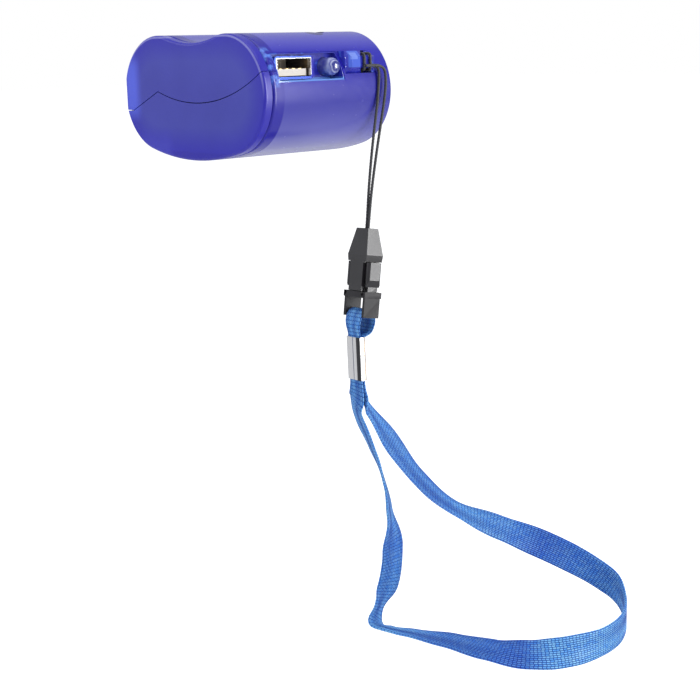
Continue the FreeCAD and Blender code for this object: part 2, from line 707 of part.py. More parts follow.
def gear_plate():
    below_port = box(-FAR, FAR, -FAR, FAR, -FAR, WINDOW_BOTTOM_Z - PLATE_DROP)
    plate = bean(WALL, PLATE_FRONT, PLATE_BACK).common(below_port)
    plate = plate.cut(cyl_y(SHAFT_R + RUN_FIT, -FAR, FAR, SHAFT_X, SHAFT_Z))
    plate = plate.cut(cyl_y(MOTOR_SHAFT_R + SCREW_CLEAR, -FAR, FAR, *MOTOR))
    for centre in (GEAR_A, GEAR_B):
        plate = plate.cut(cyl_y(AXLE_R, -FAR, FAR, *centre))
    for centre in PILLARS + motor_screw_centres():
        plate = plate.cut(cyl_y(SCREW_R, -FAR, FAR, *centre))
    return single(plate)


def plate_screw(x, z, head_front, length, direction):
    """Cheese head screw along Y; direction 1 has its shank towards -Y."""
    head = cyl_y(PLATE_HEAD_R, head_front, head_front + PLATE_HEAD_T, x, z)
    if direction > 0:
        shank = cyl_y(SCREW_R, head_front - length, head_front, x, z)
        slot_y = head_front + PLATE_HEAD_T - SLOT_DEPTH
    else:
        shank = cyl_y(SCREW_R, head_front + PLATE_HEAD_T, head_front + PLATE_HEAD_T + length, x, z)
        slot_y = head_front
    slot = box(x - PLATE_HEAD_R, x + PLATE_HEAD_R, slot_y, slot_y + SLOT_DEPTH,
               z - SLOT_W / 2, z + SLOT_W / 2)
    return single(head.fuse(shank).cut(slot))


def plate_screws():
    return Part.makeCompound([plate_screw(x, z, PLATE_BACK, PLATE_SCREW_LEN, 1) for x, z in PILLARS])


# Motor

def motor_screw_centres():
    return ((MOTOR[0], MOTOR[1] + MOTOR_SCREW_OFFSET), (MOTOR[0], MOTOR[1] - MOTOR_SCREW_OFFSET))


def motor_can():
    can = cyl_y(MOTOR_R, PLATE_BACK, MOTOR_BACK, *MOTOR)
    can = can.cut(cyl_y(MOTOR_R - MOTOR_SKIN, PLATE_BACK + MOTOR_SKIN, MOTOR_BACK, *MOTOR))
    can = can.cut(cyl_y(MOTOR_SHAFT_R + RUN_FIT, -FAR, FAR, *MOTOR))
    for centre in motor_screw_centres():
        can = can.cut(cyl_y(SCREW_R, -FAR, FAR, *centre))
    return single(can)


def terminals():
    x = MOTOR[0] + MOTOR_R - TERMINAL_INSET
    return ((x, MOTOR[1] - TERMINAL_SPREAD), (x, MOTOR[1] + TERMINAL_SPREAD))


def motor_screws():
    head_front = PLATE_FRONT - PLATE_HEAD_T
    return Part.makeCompound([plate_screw(x, z, head_front, PLATE_T + 2 * MOTOR_SKIN, -1)
                              for x, z in motor_screw_centres()])


def motor_end_cap():
    cap = cyl_y(MOTOR_R - MOTOR_SKIN, MOTOR_BACK - CAP_T, MOTOR_BACK, *MOTOR)
    cap = cap.fuse(cyl_y(CAP_BOSS_R, MOTOR_BACK, MOTOR_BACK + CAP_BOSS_H, *MOTOR))
    cap = cap.cut(cyl_y(MOTOR_SHAFT_R + RUN_FIT, -FAR, MOTOR_BACK, *MOTOR))
    for x, z in terminals():
        tab = box(x - TERMINAL_W / 2, x + TERMINAL_W / 2, MOTOR_BACK, MOTOR_BACK + TERMINAL_H,
                  z - TERMINAL_LEN / 2, z + TERMINAL_LEN / 2)
        cap = cap.fuse(tab)
    return single(cap)


def motor_magnets():
    r = MOTOR_R - MOTOR_SKIN
    y0 = magnet_start()
    ring = ring_y(r, r - MAGNET_T, y0, y0 + MAGNET_LEN, MOTOR)
    split = box(MOTOR[0] - MAGNET_SPLIT, MOTOR[0] + MAGNET_SPLIT, y0, y0 + MAGNET_LEN, -FAR, FAR)
    return Part.makeCompound(ring.cut(split).Solids)


def magnet_start():
    return PLATE_BACK + MOTOR_SKIN + MAGNET_SETBACK


def rotor_start():
    return magnet_start() + (MAGNET_LEN - ROTOR_LEN) / 2


def rotor_r():
    return MOTOR_R - MOTOR_SKIN - MAGNET_T - AIR_GAP


def motor_shaft():
    return cyl_y(MOTOR_SHAFT_R, LAYERS[2] - LAYER_GAP / 2, MOTOR_BACK - HUB_END_PLAY, *MOTOR)


def pole_box(inner, outer, half_width, angle, y0, y1):
    solid = box(MOTOR[0] + inner, MOTOR[0] + outer, y0, y1, MOTOR[1] - half_width, MOTOR[1] + half_width)
    solid.rotate(vec(MOTOR[0], 0, MOTOR[1]), vec(0, 1, 0), angle)
    return solid


def motor_rotor():
    """Laminated core with one T shaped pole per winding."""
    y0 = rotor_start()
    y1 = y0 + ROTOR_LEN
    core = cyl_y(ROTOR_HUB_R, y0, y1, *MOTOR)
    shoes = ring_y(rotor_r(), rotor_r() - POLE_SHOE_T, y0, y1, MOTOR)
    for pole in range(ROTOR_POLES):
        angle = 360.0 * pole / ROTOR_POLES
        core = core.fuse(pole_box(0, rotor_r() - POLE_SHOE_T / 2, POLE_STEM / 2, angle, y0, y1))
        gap = pole_box(0, MOTOR_R, POLE_SLOT / 2, angle + 180.0 / ROTOR_POLES, y0, y1)
        shoes = shoes.cut(gap)
    return single(core.fuse(shoes).cut(cyl_y(MOTOR_SHAFT_R, -FAR, FAR, *MOTOR)))


def motor_windings():
    """One copper coil round each pole stem."""
    y0 = rotor_start()
    y1 = y0 + ROTOR_LEN
    inner = ROTOR_HUB_R + COIL_CLEAR
    outer = rotor_r() - POLE_SHOE_T - COIL_CLEAR
    coils = []
    for pole in range(ROTOR_POLES):
        angle = 360.0 * pole / ROTOR_POLES
        coil = pole_box(inner, outer, POLE_STEM / 2 + COIL_T, angle, y0 - COIL_OVERHANG, y1 + COIL_OVERHANG)
        coils.append(single(coil.cut(pole_box(0, MOTOR_R, POLE_STEM / 2, angle, y0, y1))))
    return Part.makeCompound(coils)


# Electronics

def circuit_board():
    board = box(BOARD_LEFT_X, BOARD_RIGHT_X, INNER_FRONT + BOARD_FRONT_GAP, INNER_BACK - BOARD_BACK_GAP,
                BOARD_BOTTOM, BOARD_TOP)
    x, y = HOUSING_SCREWS[0]
    board = board.cut(cyl_z(TOWER_R + TOWER_PLAY, BOARD_BOTTOM, BOARD_TOP, x, y))
    return single(board)


def usb_shell():
    x0 = USB_MOUTH_X - USB_LEN
    half_w = USB_W / 2
    half_h = USB_H / 2
    can = box(x0, USB_MOUTH_X, USB_Y - half_w, USB_Y + half_w, PORT_Z - half_h, PORT_Z + half_h)
    rim = box(USB_MOUTH_X - USB_RIM_T, USB_MOUTH_X, USB_Y - USB_RIM_W / 2, USB_Y + USB_RIM_W / 2,
              PORT_Z - USB_RIM_H / 2, PORT_Z + USB_RIM_H / 2)
    hollow = box(x0 + USB_SKIN, USB_MOUTH_X, USB_Y - half_w + USB_SKIN, USB_Y + half_w - USB_SKIN,
                 PORT_Z - half_h + USB_SKIN, PORT_Z + half_h - USB_SKIN)
    long_edges = [e for e in rim.Edges if abs(e.BoundBox.XLength - USB_RIM_T) < TOLERANCE]
    rim = rim.makeFillet(2 * USB_SKIN, long_edges)
    return single(can.fuse(rim).cut(hollow))


def tongue_bottom():
    return PORT_Z - USB_H / 2 + USB_SKIN


def usb_tongue():
    x1 = USB_MOUTH_X - TONGUE_RECESS
    x0 = USB_MOUTH_X - USB_LEN + USB_SKIN
    z0 = tongue_bottom()
    root = box(x0, x1 - TONGUE_LEN, USB_Y - USB_W / 2 + USB_SKIN, USB_Y + USB_W / 2 - USB_SKIN,
               z0, PORT_Z + USB_H / 2 - USB_SKIN)
    tongue = box(x0, x1, USB_Y - TONGUE_W / 2, USB_Y + TONGUE_W / 2, z0 + TONGUE_FLOOR,
                 z0 + TONGUE_FLOOR + TONGUE_T)
    return single(root.fuse(tongue))


def usb_contacts():
    x1 = USB_MOUTH_X - TONGUE_RECESS - 2 * CONTACT_T
    z0 = tongue_bottom() + TONGUE_FLOOR + TONGUE_T
    strips = []
    for index in range(CONTACTS):
        y = USB_Y + (index - (CONTACTS - 1) / 2) * CONTACT_PITCH
        strips.append(box(x1 - CONTACT_LEN, x1, y - CONTACT_W / 2, y + CONTACT_W / 2, z0, z0 + CONTACT_T))
    return Part.makeCompound(strips)


def led():
    centre = LED_TIP_X - LED_R
    body = cyl_x(LED_R, LED_FOOT_X, centre, LED_Y, PORT_Z)
    dome = Part.makeSphere(LED_R, vec(centre, LED_Y, PORT_Z))
    flange = cyl_x(LED_FLANGE_R, LED_FOOT_X, LED_FOOT_X + LED_FLANGE_T, LED_Y, PORT_Z)
    return single(body.fuse([dome, flange]))


def led_leads():
    leads = []
    x = BOARD_RIGHT_X - LEAD_INSET
    for side in (-1, 1):
        y = LED_Y + side * LEAD_PITCH / 2
        run = cyl_x(LEAD_R, x, LED_FOOT_X, y, PORT_Z)
        elbow = Part.makeSphere(LEAD_R, vec(x, y, PORT_Z))
        rise = cyl_z(LEAD_R, PORT_Z, BOARD_BOTTOM, x, y)
        leads.append(single(run.fuse([elbow, rise])))
    return Part.makeCompound(leads)


def smoothing_capacitor():
    z1 = BOARD_BOTTOM
    can = cyl_z(CAPACITOR_R, z1 - CAPACITOR_LEN, z1, CAPACITOR_X, CAPACITOR_Y)
    groove_top = z1 - CAPACITOR_SKIRT
    groove_low = groove_top - CAPACITOR_GROOVE
    groove = cyl_z(CAPACITOR_R, groove_low, groove_top, CAPACITOR_X, CAPACITOR_Y)
    groove = groove.cut(cyl_z(CAPACITOR_NECK_R, groove_low, groove_top, CAPACITOR_X, CAPACITOR_Y))
    return single(can.cut(groove))


def inductor():
    z1 = BOARD_BOTTOM
    z0 = z1 - INDUCTOR_H
    core = cyl_z(INDUCTOR_CORE_R, z0, z1, INDUCTOR_X, INDUCTOR_Y)
    for z in (z0, z1 - INDUCTOR_FLANGE_T):
        core = core.fuse(cyl_z(INDUCTOR_R, z, z + INDUCTOR_FLANGE_T, INDUCTOR_X, INDUCTOR_Y))
    return single(core)


def regulator_chip():
    z1 = BOARD_BOTTOM
    gap = CHIP_LEG_T
    chip = box(CHIP_X - CHIP_W / 2, CHIP_X + CHIP_W / 2, CHIP_Y - CHIP_LEN / 2, CHIP_Y + CHIP_LEN / 2,
               z1 - CHIP_T, z1 - gap)
    for side in (-1, 1):
        for index in range(CHIP_LEGS):
            y = CHIP_Y + (index - (CHIP_LEGS - 1) / 2) * CHIP_LEG_PITCH
            edge = CHIP_X + side * CHIP_W / 2
            x0 = min(edge - side * gap, edge + side * CHIP_LEG_REACH)
            x1 = max(edge - side * gap, edge + side * CHIP_LEG_REACH)
            chip = chip.fuse(box(x0, x1, y - CHIP_LEG_W / 2, y + CHIP_LEG_W / 2, z1 - 2 * gap, z1))
    return single(chip)


def diodes():
    bodies = []
    for index in range(DIODES):
        y = DIODE_Y + index * DIODE_PITCH
        bodies.append(cyl_x(DIODE_R, DIODE_X - DIODE_LEN / 2, DIODE_X + DIODE_LEN / 2,
                            y, BOARD_BOTTOM - DIODE_R))
    return Part.makeCompound(bodies)


# Tubes along a route of straight runs and tangent arcs

def route_edges(points):
    """Straight runs joined by arcs, each as large as its two runs allow."""
    nodes = [vec(*p) for p in points]
    edges = []
    radii = []
    start = nodes[0]
    for before, corner, after in zip(nodes, nodes[1:], nodes[2:]):
        run_in = corner - before
        run_out = after - corner
        shorter = min(run_in.Length, run_out.Length)
        turn = run_in.getAngle(run_out)
        reach = ARC_SHARE * shorter
        inward = vec(*run_in).normalize()
        outward = vec(*run_out).normalize()
        first = corner - inward * reach
        last = corner + outward * reach
        radius = reach / math.tan(turn / 2)
        bisector = (outward - inward).normalize()
        centre = corner + bisector * (radius / math.cos(turn / 2))
        middle = centre - bisector * radius
        edges.append(Part.LineSegment(start, first).toShape())
        edges.append(arc(first, middle, last))
        radii.append(radius)
        start = last
    edges.append(Part.LineSegment(start, nodes[-1]).toShape())
    return edges, radii


def tube(name, points, radius):
    edges, radii = route_edges(points)
    path = Part.Wire(edges)
    start = edges[0].tangentAt(edges[0].FirstParameter)
    profile = Part.Wire(Part.makeCircle(radius, vec(*points[0]), start))
    solid = Part.Solid(path.makePipeShell([profile], True, False))
    if solid.Volume < 0:
        solid.reverse()
    expected = math.pi * radius ** 2 * path.Length
    print("%s: length %.1f, volume %.2f of %.2f, radii %s" % (
        name, path.Length, solid.Volume, expected, " ".join("%.1f" % r for r in radii)))
    return solid


def motor_wires():
    """Two leads from the motor's tabs to the circuit board."""
    wires = []
    y = MOTOR_BACK + TERMINAL_H
    end_z = BOARD_BOTTOM + BOARD_T / 2
    turn_x = BOARD_LEFT_X - WIRE_LAST_RUN
    for index, (x, z) in enumerate(terminals()):
        bulge = WIRE_BULGE - index * WIRE_STEP
        end_y = y - index * WIRE_PITCH
        route = (
            (x, y, z), (x, y + bulge, z),
            (x + (turn_x - x) / 4, y + bulge * 3 / 2, z + (end_z - z) / 3),
            (x + (turn_x - x) * 2 / 3, y + bulge, z + (end_z - z) * 4 / 5),
            (turn_x, end_y, end_z), (BOARD_LEFT_X, end_y, end_z),
        )
        wires.append(tube("motor wire", route, WIRE_R))
    return Part.makeCompound(wires)


# Black cord

def strap_hitch():
    """Two wraps of the cord round the thin stretch of the lug, joined by the bight that crosses them."""
    r = CORD_D / 2
    off = r + HITCH_LIFT
    x0 = LUG_BAR_X - off
    x1 = LUG_BAR_X + LUG_BAR_T + off
    z0 = PORT_Z + LUG_RISE - LUG_BAR_H / 2 - off
    z1 = PORT_Z + LUG_RISE + LUG_BAR_H / 2 + off
    wraps = []
    for turn in range(2):
        y = HITCH_FIRST_Y + turn * HITCH_PITCH
        corners = [(x0, z0), (x1, z0), (x1, z1), (x0, z1)]
        wraps.append(closed_loop(corners, y, r))
    bight_x, bight_end, bight_z = STRAND_RIGHT[0]
    bight_start = HITCH_FIRST_Y - r
    bight = cyl_y(r, bight_start, bight_end, bight_x, bight_z)
    nose = Part.makeSphere(r, vec(bight_x, bight_start, bight_z))
    return Part.makeCompound(wraps + [single(bight.fuse(nose))])


def closed_loop(corners, y, r):
    """Round cord closed on itself in the plane y, with rounded corners."""
    nodes = [vec(x, y, z) for x, z in corners]
    edges = []
    count = len(nodes)
    cut = 2 * r
    for index, corner in enumerate(nodes):
        before = nodes[index - 1]
        after = nodes[(index + 1) % count]
        inward = (corner - before).normalize()
        outward = (after - corner).normalize()
        first = corner - inward * cut
        last = corner + outward * cut
        centre = corner - inward * cut + outward * cut
        middle = centre + (corner - centre).normalize() * cut
        next_first = after - outward * cut
        edges.append(arc(first, middle, last))
        edges.append(Part.LineSegment(last, next_first).toShape())
    path = Part.Wire(edges)
    start = edges[0].valueAt(edges[0].FirstParameter)
    tangent = edges[0].tangentAt(edges[0].FirstParameter)
    profile = Part.Wire(Part.makeCircle(r, start, tangent))
    solid = Part.Solid(path.makePipeShell([profile], True, False))
    return solid


def strap_frame():
    """Placement of the strap's own frame: origin at the top of the buckle, +Z up along the strap."""
    up = vec(-STRAP_LEAN_X, -STRAP_LEAN_Y, 1)
    turn = FreeCAD.Rotation(vec(0, 0, 1), STRAP_TURN)
    lean = FreeCAD.Rotation(vec(0, 0, 1), up)
    return FreeCAD.Placement(vec(*BUCKLE_TOP), lean.multiply(turn))


def placed(solid):
    copy = solid.copy()
    copy.Placement = strap_frame().multiply(copy.Placement)
    return copy


def strand(name, route, side):
    frame = strap_frame()
    seat = frame.multVec(vec(side * STRAND_SPREAD, 0, -CORD_HOLE_DEPTH))
    above = frame.multVec(vec(side * STRAND_SPREAD, 0, -CORD_HOLE_DEPTH + STRAND_LAST_RUN))
    return tube(name, route + (tuple(above), tuple(seat)), CORD_D / 2)


def strap_strand_left():
    return strand("left strand", STRAND_LEFT, -1)


def strap_strand_right():
    return strand("right strand", STRAND_RIGHT, 1)


# Buckle, in the strap's own frame: X across the broad face, Y through it, Z up

def plan_box(w, t, z0, z1):
    return box(-w / 2, w / 2, -t / 2, t / 2, z0, z1)


def hood_section(w, t, z):
    return Part.makePolygon([vec(x, y, z) for x, y in corners_of(w, t)])


def buckle_female():
    shoulder = hood_section(BUCKLE_W, BUCKLE_T, -SHOULDER)
    hood = Part.makeLoft([hood_section(BUCKLE_TOP_W, BUCKLE_TOP_T, 0), shoulder], True)
    drawn_in = hood_section(BUCKLE_W - 2 * UNDERCUT, BUCKLE_T, -WINDOW_TOP)
    skirt = Part.makeLoft([shoulder, drawn_in], True)
    neck = plan_box(NECK_W, BUCKLE_T, -FEMALE_LEN, -WINDOW_TOP)
    body = hood.fuse([skirt, neck]).removeSplitter()
    between = BUCKLE_T - 2 * PANEL_T
    body = body.cut(plan_box(CAVITY_W, between, -FEMALE_LEN, -CAVITY_TOP))
    body = body.cut(plan_box(BUCKLE_W - 2 * PANEL_T, between, -FEMALE_LEN, -SHOULDER))
    return placed(single(body.cut(cyl_z(CORD_HOLE_R, -CORD_HOLE_DEPTH, 0, 0, 0))))


def corners_of(w, t):
    ring = [(-w / 2, -t / 2), (w / 2, -t / 2), (w / 2, t / 2), (-w / 2, t / 2)]
    return ring + ring[:1]


def base_top():
    return -FEMALE_LEN - BASE_GAP


def buckle_male():
    top = base_top()
    bottom = top - BASE_H
    base = plan_box(BASE_W, BASE_T, bottom, top)
    edges = [e for e in base.Edges if abs(e.BoundBox.ZLength - BASE_H) < TOLERANCE]
    male = base.makeFillet(BUCKLE_EDGE_R, edges)
    male = male.fuse(plan_box(TONGUE_BUCKLE_W, GUIDE_T, top, -GUIDE_TOP))
    for side in (-1, 1):
        centre = side * (BASE_W / 2 - POST_INSET - POST_W / 2)
        male = male.fuse(box(centre - POST_W / 2, centre + POST_W / 2, -POST_T / 2, POST_T / 2,
                             bottom - POST_LEN, bottom))
        pivot_x = side * latch_x()
        male = male.cut(latch_socket(pivot_x, top))
    bar_half = BASE_W / 2 - BUCKLE_EDGE_R
    male = male.fuse(cyl_x(BAR_R, -bar_half, bar_half, 0, bar_z()))
    return placed(single(male))


def latch_x():
    """Middle of a latch arm from the strap's line."""
    return (BUCKLE_W - LATCH_ARM_W) / 2 - LATCH_SLIT


def latch_socket(pivot_x, top):
    """Socket in the base that a latch arm's foot turns in, with a neck that lets the arm swing."""
    socket = cyl_y(LATCH_PIVOT_R + RUN_FIT, -BASE_T / 2, BASE_T / 2, pivot_x, top - LATCH_FOOT)
    half = LATCH_PIVOT_R + LATCH_SWING
    neck = box(pivot_x - half, pivot_x + half, -BASE_T / 2, BASE_T / 2, top - LATCH_FOOT, top)
    return socket.fuse(neck)


def latch(side):
    """Springy side arm with the wider pad that the fingers squeeze."""
    x = side * latch_x()
    top = base_top()
    low = top - LATCH_FOOT
    foot = cyl_y(LATCH_PIVOT_R, -LATCH_T / 2, LATCH_T / 2, x, low)
    inner = x - side * LATCH_ARM_W / 2
    outer = x + side * LATCH_ARM_W / 2
    crest = outer + side * LATCH_BULGE_W
    waist_inner = x - side * LATCH_PIVOT_R
    waist_outer = x + side * LATCH_PIVOT_R
    arm = prism([
        (waist_inner, low), (waist_outer, low), (waist_outer, top + LATCH_WAIST_H),
        (outer, top + LATCH_SHOULDER_H), (outer, -LATCH_TOP), (inner, -LATCH_TOP),
        (waist_inner, top + LATCH_WAIST_H),
    ], -LATCH_T / 2, LATCH_T / 2)
    pad = prism([
        (x, top + LATCH_SHOULDER_H), (outer, top + LATCH_SHOULDER_H), (crest, top + LATCH_CREST_LOW),
        (crest, -LATCH_TOP), (x, -LATCH_TOP),
    ], -LATCH_PAD_T / 2, LATCH_PAD_T / 2)
    corners = [e for e in pad.Edges
               if abs(e.BoundBox.XMin - crest) < TOLERANCE and abs(e.BoundBox.XMax - crest) < TOLERANCE
               and e.BoundBox.ZLength > LATCH_PAD_CHAMFER]
    pad = pad.makeChamfer(LATCH_PAD_CHAMFER, corners)
    return placed(single(foot.fuse([arm, pad])))


def buckle_latch_left():
    return latch(-1)


def buckle_latch_right():
    return latch(1)


# Webbing

def bar_z():
    return base_top() - BASE_H - BAR_DROP


def ferrule_frame():
    """Placement in the strap's frame: top middle of the ferrule, +Z up along it."""
    swing = FreeCAD.Rotation(vec(1, 0, 0), FERRULE_SWING)
    return FreeCAD.Placement(vec(0, FERRULE_SHIFT, -FERRULE_DROP), swing)


def in_ferrule(solid):
    copy = solid.copy()
    copy.Placement = ferrule_frame().multiply(copy.Placement)
    return copy


def ribbon_fold():
    """Webbing folded over the bar of the buckle, both legs down through the ferrule."""
    inner_r = BAR_R + FOLD_CLEAR
    outer_r = inner_r + RIBBON_T
    legs_top = [vec(0, -RIBBON_T, 0), vec(0, RIBBON_T, 0)]
    outer = over_bar(outer_r, FOLD_BULGE, [ferrule_frame().multVec(corner) for corner in legs_top])
    eye = over_bar(inner_r, FOLD_BULGE - RIBBON_T, [ferrule_frame().multVec(vec(0, 0, RIBBON_T))])
    legs = in_ferrule(plan_box(2 * LEG_HALF, 2 * RIBBON_T, -FERRULE_LEN, 0))
    gathered_z = RIBBON_T - FERRULE_DROP
    gather = prism([
        (-FOLD_HALF, bar_z() + outer_r), (-FOLD_HALF, bar_z()), (-LEG_HALF, gathered_z), (-LEG_HALF, -FAR),
        (LEG_HALF, -FAR), (LEG_HALF, gathered_z), (FOLD_HALF, bar_z()), (FOLD_HALF, bar_z() + outer_r),
    ], -FAR, FAR)
    return placed(single(outer.cut(eye).common(gather).fuse(legs)))


def over_bar(r, bulge, ends):
    """Half circle over the bar and two bulging legs to the ends, pushed out to the folded width."""
    front = vec(0, -r, bar_z())
    back = vec(0, r, bar_z())
    bulge_z = bar_z() - FOLD_BULGE_DROP
    outline = [arc(front, vec(0, 0, bar_z() + r), back), arc(back, vec(0, bulge, bulge_z), ends[-1])]
    outline += [Part.LineSegment(a, b).toShape() for a, b in zip(ends[::-1], ends[-2::-1])]
    outline.append(arc(ends[0], vec(0, -bulge, bulge_z), front))
    face = Part.Face(Part.Wire(outline))
    face.translate(vec(-FOLD_HALF, 0, 0))
    return face.extrude(vec(2 * FOLD_HALF, 0, 0))


def ribbon_ferrule():
    """Crimped metal sleeve round both legs, open along a seam at the front."""
    half_t = RIBBON_T + FERRULE_SKIN
    sleeve = plan_box(2 * (LEG_HALF + FERRULE_SKIN), 2 * half_t, -FERRULE_LEN, 0)
    edges = [e for e in sleeve.Edges if abs(e.BoundBox.ZLength - FERRULE_LEN) < TOLERANCE]
    sleeve = sleeve.makeFillet(FERRULE_EDGE_R, edges)
    sleeve = sleeve.cut(plan_box(2 * LEG_HALF, 2 * RIBBON_T, -FERRULE_LEN, 0))
    seam = box(-FERRULE_SEAM / 2, FERRULE_SEAM / 2, -half_t, 0, -FERRULE_LEN, 0)
    return placed(in_ferrule(single(sleeve.cut(seam))))


def wrist_ribbon():
    """Loop of webbing that starts and ends side by side in the ferrule's mouth."""
    frame = strap_frame().multiply(ferrule_frame())
    first, second, last, second_last = (
        tuple(frame.multVec(vec(side * RIBBON_EXIT_SPREAD, 0, -FERRULE_LEN - run)))
        for side in (-1, 1) for run in (0, RIBBON_EXIT_RUN))
    return tube("wrist ribbon", (first, second) + RIBBON_ROUTE + (second_last, last), RIBBON_SOLID_R)


NODES = (
    upper_shell, lower_shell, port_frame, strap_lug, housing_screws,
    crank_arm, crank_handle, handle_hinge_pin, crank_bush, crank_shaft, shaft_clip,
    drive_gear, compound_gear_a, compound_gear_b, motor_pinion, gear_axles, gear_plate, plate_screws,
    motor_can, motor_end_cap, motor_magnets, motor_shaft, motor_rotor, motor_windings, motor_screws,
    motor_wires,
    circuit_board, usb_shell, usb_tongue, usb_contacts, led, led_leads,
    smoothing_capacitor, inductor, regulator_chip, diodes,
    strap_hitch, strap_strand_left, strap_strand_right,
    buckle_female, buckle_male, buckle_latch_left, buckle_latch_right,
    ribbon_fold, ribbon_ferrule, wrist_ribbon,
)

os.makedirs("parts", exist_ok=True)
for node in NODES:
    shape = node()
    if not shape.isValid():
        print("not valid:", node.__name__)
    shape.exportStep("parts/%s.step" % node.__name__)
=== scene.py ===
import math

import bpy
from mathutils import Matrix, Vector


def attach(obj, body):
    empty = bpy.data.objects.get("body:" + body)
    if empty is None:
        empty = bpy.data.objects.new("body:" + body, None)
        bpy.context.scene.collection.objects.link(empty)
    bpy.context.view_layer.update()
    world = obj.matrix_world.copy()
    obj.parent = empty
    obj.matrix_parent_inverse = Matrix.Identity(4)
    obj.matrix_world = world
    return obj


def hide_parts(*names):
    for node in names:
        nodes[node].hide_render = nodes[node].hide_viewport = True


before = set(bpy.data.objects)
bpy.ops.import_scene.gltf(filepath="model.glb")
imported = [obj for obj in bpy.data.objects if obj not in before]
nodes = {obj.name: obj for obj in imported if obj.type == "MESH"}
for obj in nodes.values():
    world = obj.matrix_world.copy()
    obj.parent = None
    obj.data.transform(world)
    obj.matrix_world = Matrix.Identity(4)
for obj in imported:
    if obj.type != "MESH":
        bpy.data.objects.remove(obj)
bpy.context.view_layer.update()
MM = 0.001

# The strap's own frame, as the solids have it: top of the buckle, lean and turn
BUCKLE_TOP = Vector((29.1, 14.35, -39.9))
STRAP_UP = Vector((-0.03, 0.168, 1.0)).normalized()
STRAP_TURN = math.radians(-12.7)
# The ferrule's frame in the strap's: its top middle, and its swing back towards the plumb line
FERRULE_SHIFT = -1.25
FERRULE_DROP = 31.9
FERRULE_SWING = math.radians(8.2)
FERRULE_LEN = 12.7
FLOOR_Z = -175.6             # clear of the loop also with the buckle pulled apart


def strap_matrix():
    """From the strap's frame to the row frame, in millimetres."""
    lean = Vector((0, 0, 1)).rotation_difference(STRAP_UP).to_matrix()
    turn = Matrix.Rotation(STRAP_TURN, 3, "Z")
    return Matrix.Translation(BUCKLE_TOP) @ (lean @ turn).to_4x4()


STRAP = strap_matrix()
FERRULE_IN_STRAP = (Matrix.Translation((0, FERRULE_SHIFT, -FERRULE_DROP))
                    @ Matrix.Rotation(FERRULE_SWING, 4, "X"))
FERRULE_FRAME = STRAP @ FERRULE_IN_STRAP


# Camera

CAMERA_AT = Vector((320.77, -272.99, 12.76)) * MM
CAMERA_LOOK = Vector((-0.706, 0.6756, -0.2124))
CAMERA_UP = Vector((-0.1373, 0.1638, 0.9769))
LENS = 72.28
SENSOR = 36.0
CLIP = (0.01, 10.0)


def make_camera():
    data = bpy.data.cameras.new("camera")
    data.lens = LENS
    data.sensor_width = SENSOR
    data.clip_start, data.clip_end = CLIP
    cam = bpy.data.objects.new("camera", data)
    bpy.context.scene.collection.objects.link(cam)
    back = -CAMERA_LOOK.normalized()
    right = CAMERA_UP.cross(back).normalized()
    up = back.cross(right)
    turned = Matrix((right, up, back)).transposed().to_4x4()
    cam.matrix_world = Matrix.Translation(CAMERA_AT) @ turned
    bpy.context.scene.camera = cam


make_camera()


# Node tree helpers

def new_material(name):
    mat = bpy.data.materials.new(name)
    mat.use_nodes = True
    return mat, mat.node_tree, mat.node_tree.nodes["Principled BSDF"]


def add(tree, kind, **values):
    """A node with these values set on its inputs, or on itself where no input has that name."""
    node = tree.nodes.new(kind)
    for key, value in values.items():
        if key in node.inputs:
            node.inputs[key].default_value = value
        else:
            setattr(node, key, value)
    return node


def ramp(tree, source, stops):
    """Colour ramp from (position, colour) stops."""
    node = tree.nodes.new("ShaderNodeValToRGB")
    elements = node.color_ramp.elements
    while len(elements) < len(stops):
        elements.new(0.5)
    for element, (position, colour) in zip(elements, stops):
        element.position = position
        element.color = (*colour, 1)
    tree.links.new(source, node.inputs["Fac"])
    return node.outputs["Color"]


def object_noise(tree, scale, detail=2.0, stretch=(1, 1, 1)):
    """Noise in object coordinates, finer along an axis that has a larger stretch."""
    coords = add(tree, "ShaderNodeTexCoord")
    mapping = add(tree, "ShaderNodeMapping")
    mapping.inputs["Scale"].default_value = stretch
    noise = add(tree, "ShaderNodeTexNoise", Scale=scale, Detail=detail)
    tree.links.new(coords.outputs["Object"], mapping.inputs["Vector"])
    tree.links.new(mapping.outputs["Vector"], noise.inputs["Vector"])
    return noise.outputs["Fac"]


def add_bump(tree, shader, height, strength, distance):
    bump = add(tree, "ShaderNodeBump", Strength=strength, Distance=distance)
    tree.links.new(height, bump.inputs["Height"])
    tree.links.new(bump.outputs["Normal"], shader.inputs["Normal"])


def vary(tree, shader, socket, source, low, high):
    """Spreads the shader's socket between low and high by the source."""
    spread = add(tree, "ShaderNodeMapRange")
    spread.inputs["To Min"].default_value = low
    spread.inputs["To Max"].default_value = high
    tree.links.new(source, spread.inputs["Value"])
    tree.links.new(spread.outputs["Result"], shader.inputs[socket])


def calculate(tree, operation, *values):
    """A Math node on sockets and numbers."""
    node = add(tree, "ShaderNodeMath", operation=operation)
    for place, value in zip(node.inputs, values):
        if isinstance(value, float):
            place.default_value = value
        else:
            tree.links.new(value, place)
    return node.outputs["Value"]


def soft_step(tree, source, low, high):
    """0 below low, 1 above high, and the other way round where low is the larger."""
    if low > high:
        return calculate(tree, "SUBTRACT", 1.0, soft_step(tree, source, high, low))
    node = add(tree, "ShaderNodeMapRange", interpolation_type="SMOOTHSTEP")
    node.inputs["From Min"].default_value = low
    node.inputs["From Max"].default_value = high
    tree.links.new(source, node.inputs["Value"])
    return node.outputs["Result"]


def times(tree, a, b):
    """Product of two numbers."""
    return calculate(tree, "MULTIPLY", a, b)


def square_sum(tree, a, b):
    """Sum of the squares of two numbers."""
    return calculate(tree, "ADD", times(tree, a, a), times(tree, b, b))


